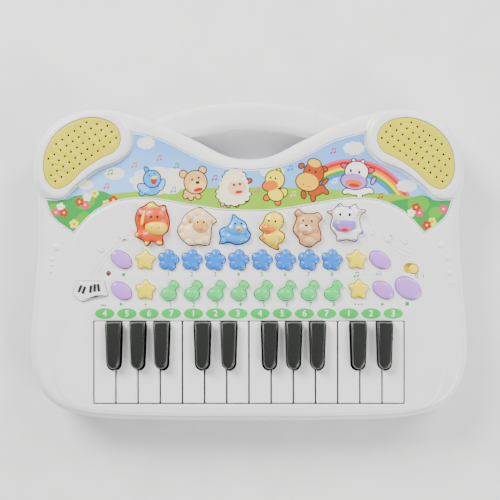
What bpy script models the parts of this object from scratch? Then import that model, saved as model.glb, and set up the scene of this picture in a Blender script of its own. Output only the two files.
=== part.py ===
"""Toy electronic keyboard with fourteen white keys, ten black keys, six animal buttons and a carry handle.

The keyboard lies flat on its feet. X runs along the keys, Y runs from the player to the handle and Z is up.
The origin is under the middle of the keyboard, on the surface it stands on. Sizes are in millimetres, and
prism(), box() and turned() turn them into Blender's metres.
"""

import math

import bmesh
import bpy
from mathutils import Matrix, Vector

MM = 0.001

# Heights of the case
FOOT_HEIGHT = 2.0
SHELL_SPLIT = 12.0
DECK_TOP = 38.0
WALL = 2.2
DECK_UNDER = DECK_TOP - WALL
SEAM_GAP = 0.3
CASE_EDGE = 8.0

# The keys
WHITE_KEYS = 14
KEY_PITCH = 17.0
KEY_GAP = 0.7
KEYS_LEFT = -WHITE_KEYS * KEY_PITCH / 2
KEY_FRONT = -108.9
KEY_REAR = -46.4
KEY_TOP = 39.3
KEY_UNDER = 27.0
BLACK_TOP = 47.0
BLACK_TIP = -82.5
BLACK_WIDTH = 11.6
BLACK_SLOT_GAP = 0.5
BLACK_TIP_GAP = 0.9
TIP_LENGTH = 5.0
# White keys with a black key on their right-hand side, and how far it stands off the line between the two
BLACK_AFTER = {0: -1.2, 1: 0.0, 2: 1.2, 4: -1.5, 5: 1.5, 7: -1.2, 8: 0.0, 9: 1.2, 11: -1.5, 12: 1.5}
HINGE_Y = -37.0
HINGE_Z = 29.3
ROD_RADIUS = 1.25
ROD_BORE = 1.6
ROD_END = 124.0
TAIL_END = -33.6
TAIL_TOP = 33.0
TAIL_UNDER = 25.4
PLUNGER_Y = -60.0
PLUNGER_SIDE = 4.0
KEY_PLUNGER_END = 20.3

# The buttons
CAP_TOP = 41.0
ANIMAL_TOP = 45.0
FLANGE_TOP = DECK_UNDER - 0.5
FLANGE_UNDER = FLANGE_TOP - 1.8
FLANGE_WIDTH = 6.0
FLANGE_REACH = 1.5
FLANGE_DROP = -6.0
BUTTON_PLUNGER_END = 30.3
BUTTON_PLUNGER_RADIUS = 2.0
HOLE_GAP = 0.4
BUTTON_ROWS = (0.5, -22.6)
STRIP_PITCH = 17.9
STRIP_FIRST = (-61.7, -60.2)
STRIP_COUNT = 8
CARRIER_WIDTH = 4.0

# Rubber and boards
RUBBER_GAP = 0.3
BUTTON_BOARD = (23.7, 25.3)
BUTTON_MAT_TOP = 26.6
KEY_BOARD = (12.7, 14.3)
KEY_MAT_TOP = 15.6
DOME_RADII = (3.0, 1.8)

# Fixings
SCREW_PLACES = ((-148, 46), (148, 46), (-151, -96), (151, -96), (-60, 74), (60, 74), (0, -115.3))
BOARD_POSTS = ((-138, -8), (138, -8), (-104, 24), (104, 24))
KEY_BOARD_POSTS = ((-105, -60), (-35, -60), (35, -60), (105, -60))
FOOT_PLACES = ((-140, -98), (140, -98), (-135, 88), (135, 88))
FOOT_RADIUS = 8.0
BOSS_RADIUS = 3.6
PILOT_RADIUS = 1.5
SCREW_CLEARANCE = 2.0
SCREW_HEAD_RADIUS = 3.0

# The battery compartment under the back of the case
BAY_X = 33.5
BAY_Y = (3.0, 62.0)
BAY_TOP = 20.0
BAY_WALL = 1.8
DOOR_GAP = 0.4
DOOR_THICKNESS = 1.8
CELL_PITCH = 14.2

# Half outlines in plan, for +X; each is mirrored
CASE_HALF = (
    (0, -123.5), (70, -123), (125, -120), (154, -108), (166.5, -85), (168.5, -57), (165.4, -19),
    (162.8, 16), (163.2, 46), (166, 67), (162.6, 89), (150, 106), (127, 116), (100, 115.3),
    (70, 106.3), (42, 93.3), (18, 81.4), (0, 78.7),
)
PICTURE_RUNS = (
    ((0, 69.8), (22, 72.3), (42, 80.2), (66, 92.6), (89.6, 98.9)),
    ((89.6, 98.9), (90.6, 86.5), (100.8, 76.2), (116, 69.8), (131, 59), (143, 48), (156.5, 47.6)),
    ((156.5, 47.6), (150.5, 33), (134.6, 21.1)),
    ((134.6, 21.1), (118, 38), (98, 46.6), (74, 47.6), (45, 42.8), (20, 39.1), (0, 38.4)),
)
# The left-hand loudspeaker grille; the other one mirrors it
GRILLE_POINTS = (
    (-156.9, 72.4), (-154.6, 61.5), (-147.5, 55.2), (-137.5, 58.9), (-127, 69.2), (-114, 78), (-103, 83.5),
    (-98.3, 92), (-101, 102), (-110.5, 108), (-123, 109.3), (-137, 105), (-148.5, 96), (-154.8, 85),
)
EAR_BAND = 7.0
EAR_TOP = 41.5
EAR_UNDER = 33.5
GRILLE_SEAT = 39.3
GRILLE_TOP = 41.3
GRILLE_LEDGE = 2.5
GRILLE_HOLE_PITCH = 5.7
GRILLE_HOLE_RADIUS = 0.9
GRILLE_HOLE_TURN = math.radians(35.5)
GRILLE_HOLE_MARGIN = 2.6
SPEAKER_PLACE = (-128, 82)
# Radius and height up the outside of a loudspeaker, then back down the inside of its paper cone
SPEAKER_PROFILE = ((0, 15), (14, 15), (14, 23), (22, 31.6), (25, 31.6), (25, 33.1), (22.8, 33.1), (8, 25), (0, 25))

HANDLE_HALF = (
    (0, 123.5), (32, 121.6), (60, 115), (84, 105.5), (80, 97), (62, 92.4), (46.5, 95.8), (24, 100.8), (0, 102.5),
)
HANDLE_HEIGHTS = (10.0, 30.0)
HANDLE_EDGE = 4.0
HANDLE_GAP = 0.4

# Each animal button: its centre, then its outline round that centre
ANIMALS = {
    "horse_button": ((-74.2, 28.4), (
        (0, 17.2), (4.6, 13.6), (9.8, 14.2), (11.2, 9.6), (13.2, 2), (12.2, -5), (8, -9.5), (8.4, -15.6), (4.2, -16),
        (0, -13), (-4.4, -17.2), (-7, -12.5), (-13.4, -9), (-11, -5.2), (-12.8, 3), (-10.8, 10.8), (-6, 13.6))),
    "sheep_button": ((-39.8, 26.3), (
        (2, 14.6), (7.6, 11.4), (14.9, 4.6), (11.4, 0.6), (10.6, -8), (8.6, -14), (1, -13.8), (-6, -14.2), (-12, -9.4),
        (-15, -3), (-12.2, 3), (-9.6, 8.2), (-4.4, 12.2))),
    "bird_button": ((-10.8, 23.9), (
        (-1.2, 11.7), (3, 8.6), (8.2, 5.4), (9.8, 0), (12, -3.6), (9.6, -8.8), (2, -11.4), (-5, -9.6), (-11.6, -11),
        (-10.6, -6.6), (-12, -1.6), (-9.2, 1.4), (-5.4, 2.6), (-2.6, 7))),
    "duck_button": ((17.7, 23.2), (
        (2.6, 14.6), (8.4, 10.6), (8.2, 4.4), (5.6, 0.6), (9.8, -3.2), (7.6, -8.8), (4.4, -10.4), (4.6, -14.6),
        (-1, -12.6), (-6, -9), (-9.8, -5.6), (-6.2, -2), (-9.8, 2), (-6.8, 6.4), (-4.4, 12))),
    "bear_button": ((44.9, 25.4), (
        (-6.8, 14.6), (-3, 11.2), (4, 10.8), (8.2, 11.6), (11.2, 7.6), (8, 3.2), (10, -3.6), (9.8, -9.6), (6.6, -11.4),
        (2, -14.8), (-5.4, -12.4), (-6.6, -8.4), (-11, -2.4), (-9.4, 4), (-8.2, 7.6), (-9.8, 11))),
    "cow_button": ((74.6, 29.5), (
        (-5, 14.6), (-2, 12.2), (3.4, 12.2), (7, 13.8), (9.6, 10.2), (15, 9.2), (10.6, 4.8), (10.8, -2.4), (12.8, -7.6),
        (8.8, -9.6), (7.6, -14.4), (0, -13.2), (-6.8, -14.4), (-7.6, -10.2), (-12.2, -3.6), (-10.6, 4.6), (-14.6, 8),
        (-9.8, 9.8))),
}
# Plain buttons: shape, centre and turn in degrees
OVAL_TURN = -33.0
BUTTONS = {
    "record_button": ("oval", (-97.6, 1.0), OVAL_TURN),
    "replay_button": ("oval", (-97.6, -22.9), OVAL_TURN),
    "volume_button": ("oval", (100.2, 0.9), OVAL_TURN),
    "demo_button": ("oval", (102.8, -22.2), OVAL_TURN),
    "stop_button": ("big_oval", (121.7, -20.7), OVAL_TURN),
    "tempo_down_button": ("star", (-79.4, 0.6), -3.0),
    "tempo_up_button": ("star", (-79.2, -22.4), -3.0),
    "melody_button": ("star", (82.3, 0.9), -3.0),
    "chord_button": ("star", (84.0, -21.8), -3.0),
}
PIANO_PLACE = (-121.5, -22.4)
PIANO_POINTS = ((10.5, 6.8), (-9.8, 6.8), (-13.1, -2.6), (-10.8, -5.8), (-6.7, -8.7), (-2.4, -7.7), (4.6, -5.1), (12.8, -4.4), (13.4, -2.5))
LED_PLACE = (-107.6, -9.6)
LED_RADIUS = 1.5
SWITCH_PLACE = (124.3, -5.8)
SWITCH_TURN = math.radians(-8)
SWITCH_SLOT = (11.4, 7.7)
SWITCH_TRAVEL = 3.6
SWITCH_KNOB_RADIUS = 3.4

WHITE_PLASTIC = ("white_abs", (0.86, 0.86, 0.84), 0.35)
BLUE_VIOLET = ("violet_abs", (0.26, 0.24, 0.46), 0.4)
BLACK_PLASTIC = ("black_abs", (0.02, 0.022, 0.02), 0.25)
YELLOW = ("yellow_abs", (0.86, 0.72, 0.10), 0.4)
LILAC = ("lilac_abs", (0.57, 0.40, 0.70), 0.3)
SKY = ("sky_blue_abs", (0.10, 0.37, 0.85), 0.3)
GREEN = ("green_abs", (0.24, 0.72, 0.30), 0.3)
CREAM = ("cream_abs", (0.90, 0.72, 0.48), 0.35)
ORANGE = ("orange_abs", (0.86, 0.22, 0.04), 0.35)
TAN = ("tan_abs", (0.55, 0.40, 0.30), 0.35)
PALE_BLUE = ("pale_blue_abs", (0.20, 0.60, 0.88), 0.35)
PRINTED = ("printed_film", (0.36, 0.62, 0.86), 0.3)
RED_LENS = ("red_lens", (0.45, 0.01, 0.02), 0.2)
STEEL = ("steel", (0.55, 0.55, 0.57), 0.3, 1.0)
RUBBER = ("silicone_rubber", (0.20, 0.20, 0.22), 0.7)
BOARD = ("circuit_board", (0.05, 0.22, 0.09), 0.5)
CELL_JACKET = ("cell_jacket", (0.70, 0.50, 0.10), 0.3, 0.6)
PAPER = ("speaker_paper", (0.05, 0.05, 0.05), 0.8)
ANIMAL_FINISHES = {
    "horse_button": ORANGE, "sheep_button": CREAM, "bird_button": PALE_BLUE,
    "duck_button": YELLOW, "bear_button": TAN, "cow_button": WHITE_PLASTIC,
}


def new_collection(name):
    made = bpy.data.collections.new(name)
    bpy.context.scene.collection.children.link(made)
    return made


def finish(obj, name, colour, roughness, metallic=0.0):
    """Gives the object a Principled material of its own colour."""
    material = bpy.data.materials.get(name) or bpy.data.materials.new(name)
    material.use_nodes = True
    shader = material.node_tree.nodes["Principled BSDF"]
    shader.inputs["Base Color"].default_value = (*colour, 1)
    shader.inputs["Roughness"].default_value = roughness
    shader.inputs["Metallic"].default_value = metallic
    obj.data.materials.clear()
    obj.data.materials.append(material)
    obj.data.shade_smooth()
    obj.data.set_sharp_from_angle(angle=math.radians(40))
    return obj


def pivot_at(obj, x, y, z):
    """Moves the object's origin to a point on its joint's axis."""
    shift = Vector((x, y, z)) * MM
    obj.data.transform(Matrix.Translation(-shift))
    obj.location = shift
    return obj


def place(mesh, name):
    """A new object for the mesh, in the parts collection."""
    obj = bpy.data.objects.new(name, mesh)
    PARTS.objects.link(obj)
    return obj


def tool(obj):
    """Makes the object a helper that cuts or joins, which isn't part of the keyboard."""
    PARTS.objects.unlink(obj)
    TOOLS.objects.link(obj)
    obj.hide_render = True
    obj.display_type = "WIRE"
    return obj


def combine(obj, other, operation):
    boolean = obj.modifiers.new(other.name, "BOOLEAN")
    boolean.operation = operation
    boolean.object = tool(other)
    return obj


def join(obj, other):
    return combine(obj, other, "UNION")


def cut(obj, other):
    return combine(obj, other, "DIFFERENCE")


def prism(name, loops, low, high):
    """Flat outlines, filled and stood up between two heights. A loop inside another is a hole."""
    curve = bpy.data.curves.new(name, "CURVE")
    curve.dimensions = "2D"
    curve.fill_mode = "BOTH"
    curve.extrude = (high - low) / 2 * MM
    for loop in loops:
        spline = curve.splines.new("POLY")
        spline.points.add(len(loop) - 1)
        spline.use_cyclic_u = True
        for point, (x, y) in zip(spline.points, loop):
            point.co = (x * MM, y * MM, 0, 1)
    guide = place(curve, name + "_outline")
    bpy.context.view_layer.update()
    mesh = bpy.data.meshes.new_from_object(guide.evaluated_get(bpy.context.evaluated_depsgraph_get()))
    bpy.data.objects.remove(guide)
    mesh.name = name
    shape = bmesh.new()
    shape.from_mesh(mesh)
    bmesh.ops.remove_doubles(shape, verts=shape.verts, dist=1e-6)
    bmesh.ops.dissolve_limit(shape, angle_limit=math.radians(0.5), verts=shape.verts, edges=shape.edges)
    bmesh.ops.translate(shape, verts=shape.verts, vec=(0, 0, (low + high) / 2 * MM))
    bmesh.ops.recalc_face_normals(shape, faces=shape.faces)
    shape.to_mesh(mesh)
    shape.free()
    return place(mesh, name)


def along_x(obj, middle_x):
    """Turns a prism drawn in Y and Z, about its own middle plane, to run along X."""
    turn = Matrix(((0, 0, 1, middle_x * MM), (1, 0, 0, 0), (0, 1, 0, 0), (0, 0, 0, 1)))
    obj.data.transform(turn)
    return obj


def box(name, low, high):
    """A cuboid between two corners."""
    shape = bmesh.new()
    bmesh.ops.create_cube(shape, size=1)
    middle = [(a + b) / 2 * MM for a, b in zip(low, high)]
    size = [(b - a) * MM for a, b in zip(low, high)]
    bmesh.ops.scale(shape, vec=size, verts=shape.verts)
    bmesh.ops.translate(shape, vec=middle, verts=shape.verts)
    mesh = bpy.data.meshes.new(name)
    shape.to_mesh(mesh)
    shape.free()
    return place(mesh, name)


def turned(name, profile, centre, sides):
    """A profile of (radius, height) points turned about a vertical axis through the centre."""
    shape = bmesh.new()
    rim = [shape.verts.new((r * MM, 0, z * MM)) for r, z in profile]
    for a, b in zip(rim, rim[1:]):
        shape.edges.new((a, b))
    mesh = bpy.data.meshes.new(name)
    shape.to_mesh(mesh)
    shape.free()
    obj = place(mesh, name)
    obj.location = (centre[0] * MM, centre[1] * MM, 0)
    screw = obj.modifiers.new("turn", "SCREW")
    screw.steps = screw.render_steps = sides
    screw.use_merge_vertices = True
    screw.merge_threshold = 1e-6
    screw.use_normal_flip = True
    return obj


def round_edges(obj, width, segments, picked):
    """Rounds the edges that picked(edge) chooses."""
    shape = bmesh.new()
    shape.from_mesh(obj.data)
    edges = [e for e in shape.edges if picked(e)]
    bmesh.ops.bevel(
        shape, geom=edges, offset=width * MM, segments=segments, profile=0.5, affect="EDGES",
        offset_type="OFFSET", clamp_overlap=False, material=-1,
    )
    shape.to_mesh(obj.data)
    shape.free()
    return obj


def level_with(height):
    """Picks the outer edges that lie at one height."""
    def picked(edge):
        at_height = all(abs(v.co.z - height * MM) < 1e-6 for v in edge.verts)
        return at_height and edge.calc_face_angle(0) > math.radians(60)
    return picked


def smooth_run(points, steps):
    """An open curve through the points. The last point is left out."""
    ends = [Vector(p) for p in points]
    ends = [2 * ends[0] - ends[1], *ends, 2 * ends[-1] - ends[-2]]
    found = []
    for before, start, end, after in zip(ends, ends[1:], ends[2:], ends[3:]):
        for step in range(steps):
            t = step / steps
            bend = 2 * before - 5 * start + 4 * end - after
            twist = 3 * start - before - 3 * end + after
            found.append((2 * start + (end - before) * t + bend * t**2 + twist * t**3) / 2)
    return found


def smooth_loop(points, steps):
    """A closed curve through the points."""
    count = len(points)
    run = [points[i % count] for i in range(-1, count + 2)]
    return smooth_run(run, steps)[steps:-steps]


def mirrored_loop(half, steps):
    """A smooth closed outline from its +X half, which starts and ends on the centre line."""
    whole = [*half, *[(-x, y) for x, y in half[-2:0:-1]]]
    return smooth_loop(whole, steps)


def mirrored_runs(runs, steps):
    """A closed outline with sharp corners where its runs meet, from its +X half."""
    right = [p for run in runs for p in smooth_run(run, steps)]
    right.append(Vector(runs[-1][-1]))
    return [*right, *[Vector((-p.x, p.y)) for p in right[-2:0:-1]]]


def grown(loop, by):
    """The loop moved outwards, whichever way round it runs."""
    area = sum(a.cross(b) for a, b in zip(loop, loop[1:] + loop[:1]))
    side = math.copysign(1, area)
    moved = []
    for i, point in enumerate(loop):
        into = (point - loop[i - 1]).normalized()
        out = (loop[(i + 1) % len(loop)] - point).normalized()
        middle = (into + out).normalized()
        outward = Vector((middle.y, -middle.x)) * side
        stretch = max(0.4, middle.dot(into))
        moved.append(point + outward * (by / stretch))
    return moved


def moved(loop, centre, turn=0.0):
    cosine, sine = math.cos(turn), math.sin(turn)
    return [Vector((x * cosine - y * sine + centre[0], x * sine + y * cosine + centre[1])) for x, y in loop]


def ellipse(across, along, sides):
    return [Vector((across * math.cos(a), along * math.sin(a))) for a in (math.tau * i / sides for i in range(sides))]


def lobed(outer, inner, per_lobe):
    """A five-pointed outline whose radius swings between two values."""
    count = 5 * per_lobe
    found = []
    for i in range(count):
        turn = math.tau * i / count
        radius = inner + (outer - inner) * (0.5 + 0.5 * math.cos(5 * turn))
        found.append(Vector((-radius * math.sin(turn), radius * math.cos(turn))))
    return found


def lute():
    """A round body with a short neck and a flared head, leaning to the right."""
    body = [Vector((-1.6 + 5.4 * math.cos(a), -2.4 + 5.0 * math.sin(a))) for a in (math.radians(d) for d in range(105, 376, 30))]
    head = [Vector(p) for p in ((3.6, 2.2), (6.6, 3.9), (4.4, 7.6), (1.2, 6.0), (0.2, 3.0))]
    return [*body, *head]


def pill(length, width, per_end):
    """A slot outline with round ends."""
    reach, radius = (length - width) / 2, width / 2
    turns = [math.pi * i / per_end - math.pi / 2 for i in range(per_end + 1)]
    right = [Vector((reach + radius * math.cos(a), radius * math.sin(a))) for a in turns]
    return [*right, *[-p for p in right]]


def round_tip(width, tip, rear):
    """A finger shape in plan, round at the end nearest the player."""
    half = width / 2
    turns = [math.pi + math.pi * i / 6 for i in range(7)]
    front = [Vector((half * math.cos(a), tip + TIP_LENGTH + TIP_LENGTH * math.sin(a))) for a in turns]
    return [*front, Vector((half, rear)), Vector((-half, rear))]


def cap_outline(shape):
    return {
        "oval": ellipse(8.4, 5.8, 14),
        "big_oval": ellipse(10.3, 7.6, 16),
        "star": lobed(8.3, 5.6, 3),
        "flower": lobed(7.7, 6.4, 3),
        "lute": lute(),
    }[shape]


def white_span(index):
    left = KEYS_LEFT + index * KEY_PITCH
    return left + KEY_GAP / 2, left + KEY_PITCH - KEY_GAP / 2


def black_centre(index):
    return KEYS_LEFT + (index + 1) * KEY_PITCH + BLACK_AFTER[index]


def key_profile(front, top):
    """The side of a key: its body, and its tail under the deck."""
    return [
        Vector(p) for p in (
            (front, KEY_UNDER), (KEY_REAR - 4, KEY_UNDER), (KEY_REAR - 2, TAIL_UNDER), (TAIL_END, TAIL_UNDER),
            (TAIL_END, TAIL_TOP), (KEY_REAR, TAIL_TOP), (KEY_REAR, top), (front, top))
    ]


def rod_bore():
    return moved(ellipse(ROD_BORE, ROD_BORE, 8), (HINGE_Y, HINGE_Z))


def add_plunger(key, x):
    half = PLUNGER_SIDE / 2
    low = (x - half, PLUNGER_Y - half, KEY_PLUNGER_END)
    high = (x + half, PLUNGER_Y + half, KEY_UNDER + 2)
    return join(key, box(key.name + "_plunger", low, high))


def white_key(index):
    """A white key: a hollow head, a neck beside the black keys and a tail on the rod."""
    left, right = white_span(index)
    name = f"white_key_{index + 1:02d}"
    width = right - left
    key = prism(name, [key_profile(KEY_FRONT, KEY_TOP), rod_bore()], -width / 2, width / 2)
    along_x(key, (left + right) / 2)
    neck = [left, right]
    for side, neighbour in enumerate((index - 1, index)):
        if neighbour not in BLACK_AFTER:
            continue
        slot_width = BLACK_WIDTH + 2 * BLACK_SLOT_GAP
        slot = moved(round_tip(slot_width, BLACK_TIP - BLACK_TIP_GAP, TAIL_END + 4), (black_centre(neighbour), 0))
        cut(key, prism(f"{name}_slot_{side}", [slot], TAIL_UNDER - 2, BLACK_TOP))
        neck[side] = black_centre(neighbour) + (slot_width / 2 if side == 0 else -slot_width / 2)
    hollow = box(name + "_hollow", (left + 1.8, KEY_FRONT + 1.8, KEY_UNDER - 1), (right - 1.8, BLACK_TIP - 3, KEY_TOP - 2))
    cut(key, hollow)
    add_plunger(key, sum(neck) / 2)
    pivot_at(key, (left + right) / 2, HINGE_Y, HINGE_Z)
    return finish(key, *WHITE_PLASTIC)


def black_key(number, index):
    """A black key: a finger shape with a tail on the same rod."""
    name = f"black_key_{number:02d}"
    centre = black_centre(index)
    half = BLACK_WIDTH / 2
    key = prism(name, [key_profile(BLACK_TIP, BLACK_TOP), rod_bore()], -half, half)
    along_x(key, centre)
    plan = moved(round_tip(BLACK_WIDTH - 0.02, BLACK_TIP + 0.01, TAIL_END + 2), (centre, 0))
    combine(key, prism(name + "_plan", [plan], TAIL_UNDER - 2, BLACK_TOP + 2), "INTERSECT")
    add_plunger(key, centre)
    pivot_at(key, centre, HINGE_Y, HINGE_Z)
    return finish(key, *BLACK_PLASTIC)


def span(values):
    found = list(values)
    return min(found), max(found)


def flange_box(name, loop, centre):
    """The bar under a button: along Y for a small one, and across the lower half of an animal."""
    half = FLANGE_WIDTH / 2
    if name in ANIMALS:
        y = centre[1] + FLANGE_DROP
        low, high = span(p.x for p in loop if abs(p.y - y) < FLANGE_WIDTH)
        return (low - FLANGE_REACH, y - half, FLANGE_UNDER), (high + FLANGE_REACH, y + half, FLANGE_TOP)
    low, high = span(p.y for p in loop)
    x = centre[0]
    return (x - half, low - FLANGE_REACH, FLANGE_UNDER), (x + half, high + FLANGE_REACH, FLANGE_TOP)


def button(name, loop, centre, top, colour):
    """A button that stands through the deck, with a flange that keeps it in and a plunger for its dome."""
    cap = prism(name, [loop], FLANGE_TOP - 1, top)
    join(cap, box(name + "_flange", *flange_box(name, loop, centre)))
    plunger_loop = moved(ellipse(BUTTON_PLUNGER_RADIUS, BUTTON_PLUNGER_RADIUS, 6), centre)
    join(cap, prism(name + "_plunger", [plunger_loop], BUTTON_PLUNGER_END, FLANGE_UNDER + 1))
    pivot_at(cap, *centre, FLANGE_TOP)
    return finish(cap, *colour)


def strip_centres(row):
    return [(STRIP_FIRST[row] + STRIP_PITCH * i, BUTTON_ROWS[row]) for i in range(STRIP_COUNT)]


def button_strip(name, shape, row, turn, colour):
    """Eight buttons of one colour, moulded on one carrier bar."""
    centres = strip_centres(row)
    half = CARRIER_WIDTH / 2
    y = BUTTON_ROWS[row]
    carrier = box(name, (centres[0][0] - 5, y - half, FLANGE_UNDER), (centres[-1][0] + 5, y + half, FLANGE_TOP))
    caps = [moved(cap_outline(shape), c, turn) for c in centres]
    plungers = [moved(ellipse(BUTTON_PLUNGER_RADIUS, BUTTON_PLUNGER_RADIUS, 6), c) for c in centres]
    join(carrier, prism(name + "_caps", caps, FLANGE_TOP - 1, CAP_TOP))
    join(carrier, prism(name + "_plungers", plungers, BUTTON_PLUNGER_END, FLANGE_UNDER + 1))
    pivot_at(carrier, (centres[0][0] + centres[-1][0]) / 2, y, FLANGE_TOP)
    return finish(carrier, *colour)


def all_buttons():
    """Name, outline, centre, top and colour of every separate button."""
    colours = {"oval": LILAC, "big_oval": LILAC, "star": YELLOW}
    found = []
    for name, (shape, centre, turn) in BUTTONS.items():
        loop = moved(cap_outline(shape), centre, math.radians(turn))
        found.append((name, loop, centre, CAP_TOP, colours[shape]))
    for name, (centre, points) in ANIMALS.items():
        found.append((name, moved(points, centre), centre, ANIMAL_TOP, ANIMAL_FINISHES[name]))
    piano = moved(PIANO_POINTS, PIANO_PLACE)
    found.append(("piano_button", piano, PIANO_PLACE, CAP_TOP - 1, WHITE_PLASTIC))
    return found


def mirror(loop):
    return [Vector((-p.x, p.y)) for p in loop]


def shell(name, bottom, top, open_height, closed_height, edge, segments):
    """A case half: a wall round the outline with one closed, round-edged face."""
    body = prism(name, [mirrored_loop(CASE_HALF, 2)], bottom, top)
    round_edges(body, edge, segments, level_with(closed_height))
    shape = bmesh.new()
    shape.from_mesh(body.data)
    lid = [f for f in shape.faces if all(abs(v.co.z - open_height * MM) < 1e-6 for v in f.verts)]
    bmesh.ops.delete(shape, geom=lid, context="FACES_ONLY")
    shape.to_mesh(body.data)
    shape.free()
    thicken = body.modifiers.new("wall", "SOLIDIFY")
    thicken.thickness = WALL * MM
    thicken.offset = -1
    thicken.use_even_offset = True
    return body


def circles(places, radius, sides):
    return [moved(ellipse(radius, radius, sides), p) for p in places]


def handle_loop(steps):
    return mirrored_loop(HANDLE_HALF, steps)


def handle_space(name):
    low, high = HANDLE_HEIGHTS
    return prism(name, [grown(handle_loop(2), HANDLE_GAP)], low - HANDLE_GAP, high + HANDLE_GAP)


def top_case(buttons):
    """The white upper case: deck, loudspeaker ears, bosses and every opening."""
    case = shell("top_case", SHELL_SPLIT + SEAM_GAP, DECK_TOP, SHELL_SPLIT + SEAM_GAP, DECK_TOP, CASE_EDGE, 3)
    grille = smooth_loop(GRILLE_POINTS, 2)
    ears = grown(grille, EAR_BAND)
    ear_blocks = prism("ear_blocks", [ears, mirror(ears)], EAR_UNDER, EAR_TOP)
    round_edges(ear_blocks, 3, 1, level_with(EAR_TOP))
    join(case, ear_blocks)
    inside_top = DECK_UNDER + 1
    join(case, prism("screw_bosses", circles(SCREW_PLACES, BOSS_RADIUS, 8), SHELL_SPLIT + 2, inside_top))
    join(case, prism("board_posts", circles(BOARD_POSTS, 2.6, 6), BUTTON_BOARD[1] + RUBBER_GAP, inside_top))
    for side in (-1, 1):
        inner, outer = sorted((side * 120.6, side * (ROD_END + 3)))
        holder = box(f"rod_holder_{side}", (inner, HINGE_Y - 4, HINGE_Z - 4), (outer, HINGE_Y + 4, inside_top))
        join(case, holder)
    holes = [grown(loop, HOLE_GAP) for _, loop, _, _, _ in buttons]
    for row, (shape, turn) in enumerate((("flower", FLOWER_TURN), ("lute", 0.0))):
        holes += [grown(moved(cap_outline(shape), c, turn), HOLE_GAP) for c in strip_centres(row)]
    side = WHITE_KEYS * KEY_PITCH / 2 + 0.5
    front, rear = KEY_FRONT - 0.9, KEY_REAR + 0.6
    holes.append([Vector(p) for p in ((-side, front), (side, front), (side, rear), (-side, rear))])
    holes += circles([LED_PLACE], LED_RADIUS + HOLE_GAP, 8)
    holes.append(moved(pill(*SWITCH_SLOT, 4), SWITCH_PLACE, SWITCH_TURN))
    cut(case, prism("deck_holes", holes, DECK_UNDER - 1.2, DECK_TOP + 12))
    seats = grown(grille, HOLE_GAP)
    cut(case, prism("grille_seats", [seats, mirror(seats)], GRILLE_SEAT - RUBBER_GAP, EAR_TOP + 2))
    mouths = grown(grille, -GRILLE_LEDGE)
    cut(case, prism("grille_mouths", [mouths, mirror(mouths)], EAR_UNDER - 3, EAR_TOP + 2))
    picture = grown(mirrored_runs(PICTURE_RUNS, 2), HOLE_GAP)
    cut(case, prism("picture_recess", [picture], DECK_TOP - 1, EAR_TOP + 2))
    cut(case, prism("screw_pilots", circles(SCREW_PLACES, PILOT_RADIUS, 6), SHELL_SPLIT, DECK_UNDER - 6))
    rod_space = prism("rod_space", [rod_bore()], -ROD_END - 0.4, ROD_END + 0.4)
    cut(case, along_x(rod_space, 0))
    cut(case, handle_space("handle_space_top"))
    return finish(case, *WHITE_PLASTIC)


def bottom_case():
    """The lower case: a tray with feet, screw posts and the battery compartment."""
    case = shell("bottom_case", FOOT_HEIGHT, SHELL_SPLIT, SHELL_SPLIT, FOOT_HEIGHT, 3.0, 1)
    floor = FOOT_HEIGHT + WALL
    bay_low, bay_high = BAY_Y
    outer = BAY_WALL
    bay = box("bay_block", (-BAY_X - outer, bay_low - outer, FOOT_HEIGHT), (BAY_X + outer, bay_high + outer, BAY_TOP + outer))
    join(case, bay)
    join(case, prism("feet", circles(FOOT_PLACES, FOOT_RADIUS, 12), 0, floor - 0.5))
    join(case, prism("screw_posts", circles(SCREW_PLACES, BOSS_RADIUS + 1, 8), floor - 1, SHELL_SPLIT + 2 - SEAM_GAP))
    join(case, prism("key_board_posts", circles(KEY_BOARD_POSTS, 2.6, 6), floor - 1, KEY_BOARD[0] - RUBBER_GAP))
    cut(case, box("bay_space", (-BAY_X, bay_low, FOOT_HEIGHT - 3), (BAY_X, bay_high, BAY_TOP)))
    cut(case, prism("screw_ways", circles(SCREW_PLACES, SCREW_CLEARANCE, 6), FOOT_HEIGHT - 3, SHELL_SPLIT + 4))
    cut(case, prism("screw_wells", circles(SCREW_PLACES, SCREW_HEAD_RADIUS, 8), FOOT_HEIGHT - 3, 9))
    cut(case, handle_space("handle_space_bottom"))
    return finish(case, *BLUE_VIOLET)


def carry_handle():
    """The grip, whose ends are held between the two case halves."""
    handle = prism("carry_handle", [handle_loop(2)], *HANDLE_HEIGHTS)
    for height in HANDLE_HEIGHTS:
        round_edges(handle, HANDLE_EDGE, 2, level_with(height))
    return finish(handle, *WHITE_PLASTIC)


def batteries():
    """Four cells side by side in the compartment, each touching the next."""
    cells = [moved(ellipse(7.2, 7.2, 12), (CELL_PITCH * (i - 1.5), FOOT_HEIGHT + DOOR_THICKNESS + 8.2)) for i in range(4)]
    low, high = BAY_Y
    pack = prism("batteries", cells[:1], 0, high - low - 6)
    for number, cell in enumerate(cells[1:], 2):
        join(pack, prism(f"cell_{number}", [cell], 0, high - low - 6))
    for piece in (pack, *[m.object for m in pack.modifiers]):
        piece.data.transform(Matrix(((1, 0, 0, 0), (0, 0, 1, (low + 3) * MM), (0, -1, 0, 0), (0, 0, 0, 1))))
        piece.data.transform(Matrix.Scale(-1, 4, (0, 0, 1)))
        piece.data.flip_normals()
    return finish(pack, *CELL_JACKET)


def battery_door():
    low = (-BAY_X + DOOR_GAP, BAY_Y[0] + DOOR_GAP, FOOT_HEIGHT)
    high = (BAY_X - DOOR_GAP, BAY_Y[1] - DOOR_GAP, FOOT_HEIGHT + DOOR_THICKNESS)
    return finish(box("battery_door", low, high), *BLUE_VIOLET)


def picture_panel():
    """The printed film in the recess between the ears."""
    loop = mirrored_runs(PICTURE_RUNS, 2)
    return finish(prism("picture_panel", [loop], DECK_TOP - 0.7, DECK_TOP - 0.2), *PRINTED)


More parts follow.
